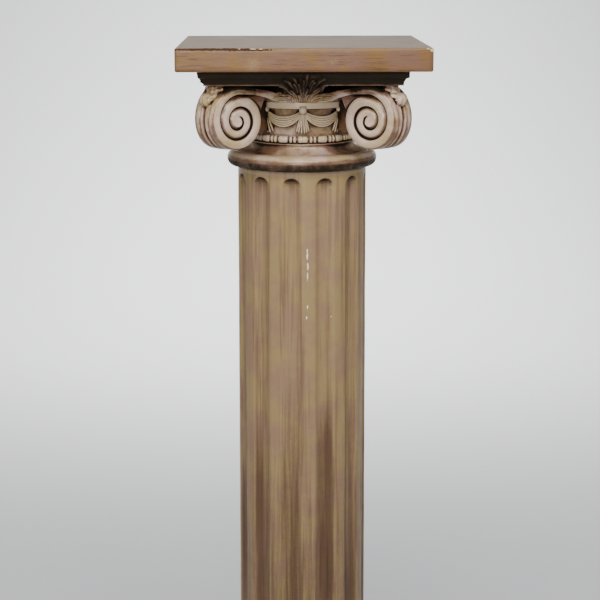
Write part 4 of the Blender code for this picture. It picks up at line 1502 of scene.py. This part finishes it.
@dataclass
class Studio:
    """The plain pale backdrop, the soft lights and the camera of the photograph, in metres."""

    half_width: float = 9.0
    front_edge: float = -6.0
    bend_start: float = 2.5
    bend_radius: float = 3.0
    bend_steps: int = 16
    wall_top: float = 7.0
    paper: str = "#DCDDDF"
    room: str = "#F0F0F2"
    room_strength: float = 0.16
    lens: float = 97.25
    camera_place: tuple[float, float, float] = (-0.0376, -2.0722, 1.1223)
    camera_turn: tuple[float, float, float] = (77.996, 0.048, -0.977)
    boxes: tuple[SoftBox, ...] = (
        SoftBox("top_box", (0.0, -1.35, 2.05), (0.0, 0.0, 0.85), (1.6, 0.7), 38.0),
        SoftBox("front_box", (-0.3, -2.3, 1.3), (0.0, 0.0, 0.85), (0.8, 0.5), 26.0),
        SoftBox("left_box", (-1.9, -1.0, 1.4), (0.0, 0.0, 0.8), (0.6, 1.4), 12.0),
        SoftBox("right_box", (1.9, -1.0, 1.4), (0.0, 0.0, 0.8), (0.6, 1.4), 12.0),
        SoftBox("backdrop_box", (0.0, 2.5, 2.1), (0.0, 3.8, 0.3), (1.2, 0.8), 150.0))

    def floor(self) -> None:
        """Sweep a pale floor up into a wall behind the column."""
        bm = bmesh.new()

        def place(column: int, row: int) -> Vector:
            """Give a point of the floor, the bend or the wall."""
            x = self.half_width * (2.0 * column - 1.0)
            if row == 0:
                return Vector((x, self.front_edge, 0.0))
            if row == self.bend_steps + 2:
                return Vector((x, self.bend_start + self.bend_radius, self.wall_top))
            turn = math.pi / 2 * (row - 1) / self.bend_steps
            return Vector((x, self.bend_start + self.bend_radius * math.sin(turn),
                           self.bend_radius * (1.0 - math.cos(turn))))

        sheet(bm, 2, self.bend_steps + 3, place)
        bmesh.ops.recalc_face_normals(bm, faces=bm.faces)
        mesh = bpy.data.meshes.new("studio_sweep")
        bm.to_mesh(mesh)
        bm.free()
        mesh.shade_smooth()
        paper = bpy.data.materials.new("matt_grey_paper")
        paper.use_nodes = True
        shader = paper.node_tree.nodes["Principled BSDF"]
        shader.inputs["Base Color"].default_value = linear(self.paper)
        shader.inputs["Roughness"].default_value = 0.9
        mesh.materials.append(paper)
        sweep = bpy.data.objects.new("studio_sweep", mesh)
        bpy.context.scene.collection.objects.link(sweep)

    def world(self) -> None:
        """Fill the surroundings with even pale light."""
        world = bpy.data.worlds.new("pale_room")
        world.use_nodes = True
        sky = world.node_tree.nodes["Background"]
        sky.inputs["Color"].default_value = linear(self.room)
        sky.inputs["Strength"].default_value = self.room_strength
        bpy.context.scene.world = world

    def camera(self) -> None:
        """Set the camera at the photograph's place."""
        data = bpy.data.cameras.new("photo_camera")
        data.lens = self.lens
        data.sensor_width = 36.0
        data.clip_end = 60.0
        camera = bpy.data.objects.new("photo_camera", data)
        camera.location = self.camera_place
        camera.rotation_euler = Euler([math.radians(turn) for turn in self.camera_turn])
        bpy.context.scene.collection.objects.link(camera)
        bpy.context.scene.camera = camera

    def build(self) -> None:
        """Set up the whole stage."""
        self.camera()
        self.floor()
        self.world()
        for box in self.boxes:
            box.hang()


def finish_piece(carving: Carving, bm: BMesh, material: bpy.types.Material) -> None:
    """Turn a carved mesh into a piece that rides on the column.

    Args:
        carving: The shape and its options.
        bm: Its mesh in millimetres, which is used up.
        material: Its finish.
    """
    source = bm.verts[:] + bm.edges[:] + bm.faces[:]
    for quarter in range(1, carving.turn.value):
        copied = bmesh.ops.duplicate(bm, geom=source)["geom"]
        verts = [item for item in copied if isinstance(item, bmesh.types.BMVert)]
        bmesh.ops.rotate(bm, verts=verts, cent=(0, 0, 0), matrix=quarter_turns(quarter))
    bmesh.ops.scale(bm, vec=(METRES, METRES, METRES), verts=bm.verts)
    mesh = bpy.data.meshes.new(carving.name)
    bm.to_mesh(mesh)
    bm.free()
    mesh.shade_smooth()
    mesh.set_sharp_from_angle(angle=math.radians(carving.crease))
    mesh.materials.append(material)
    piece = bpy.data.objects.new(carving.name, mesh)
    bpy.context.scene.collection.objects.link(piece)
    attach(piece, "root")
    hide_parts(carving.node)
    LOG.info("%s: %d faces", carving.name, len(mesh.polygons))


def main() -> None:
    """Build the stage, then carve, measure and finish every shape."""
    logging.basicConfig(level=logging.INFO, format="%(name)s %(message)s")
    LOG.info("dressing the nodes %s", ", ".join(sorted(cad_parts)))
    Studio().build()
    carvings: list[Carving] = [TopPlate(), Abacus(), TurnedNeck(), BeadAndReel(), Festoons(), Volute(), Arm(),
                               Palmette(), RailTips(), CornerLeaf(), Shaft(), MouldedBase()]
    carved = [(carving, carving.carve()) for carving in carvings]
    meter = HollowMeter(carved)
    paints = {node: paint.material() for node, paint in PAINTS.items()}
    for carving, bm in carved:
        meter.measure(carving, bm)
        finish_piece(carving, bm, paints[carving.node])


if __name__ == "__main__":
    main()
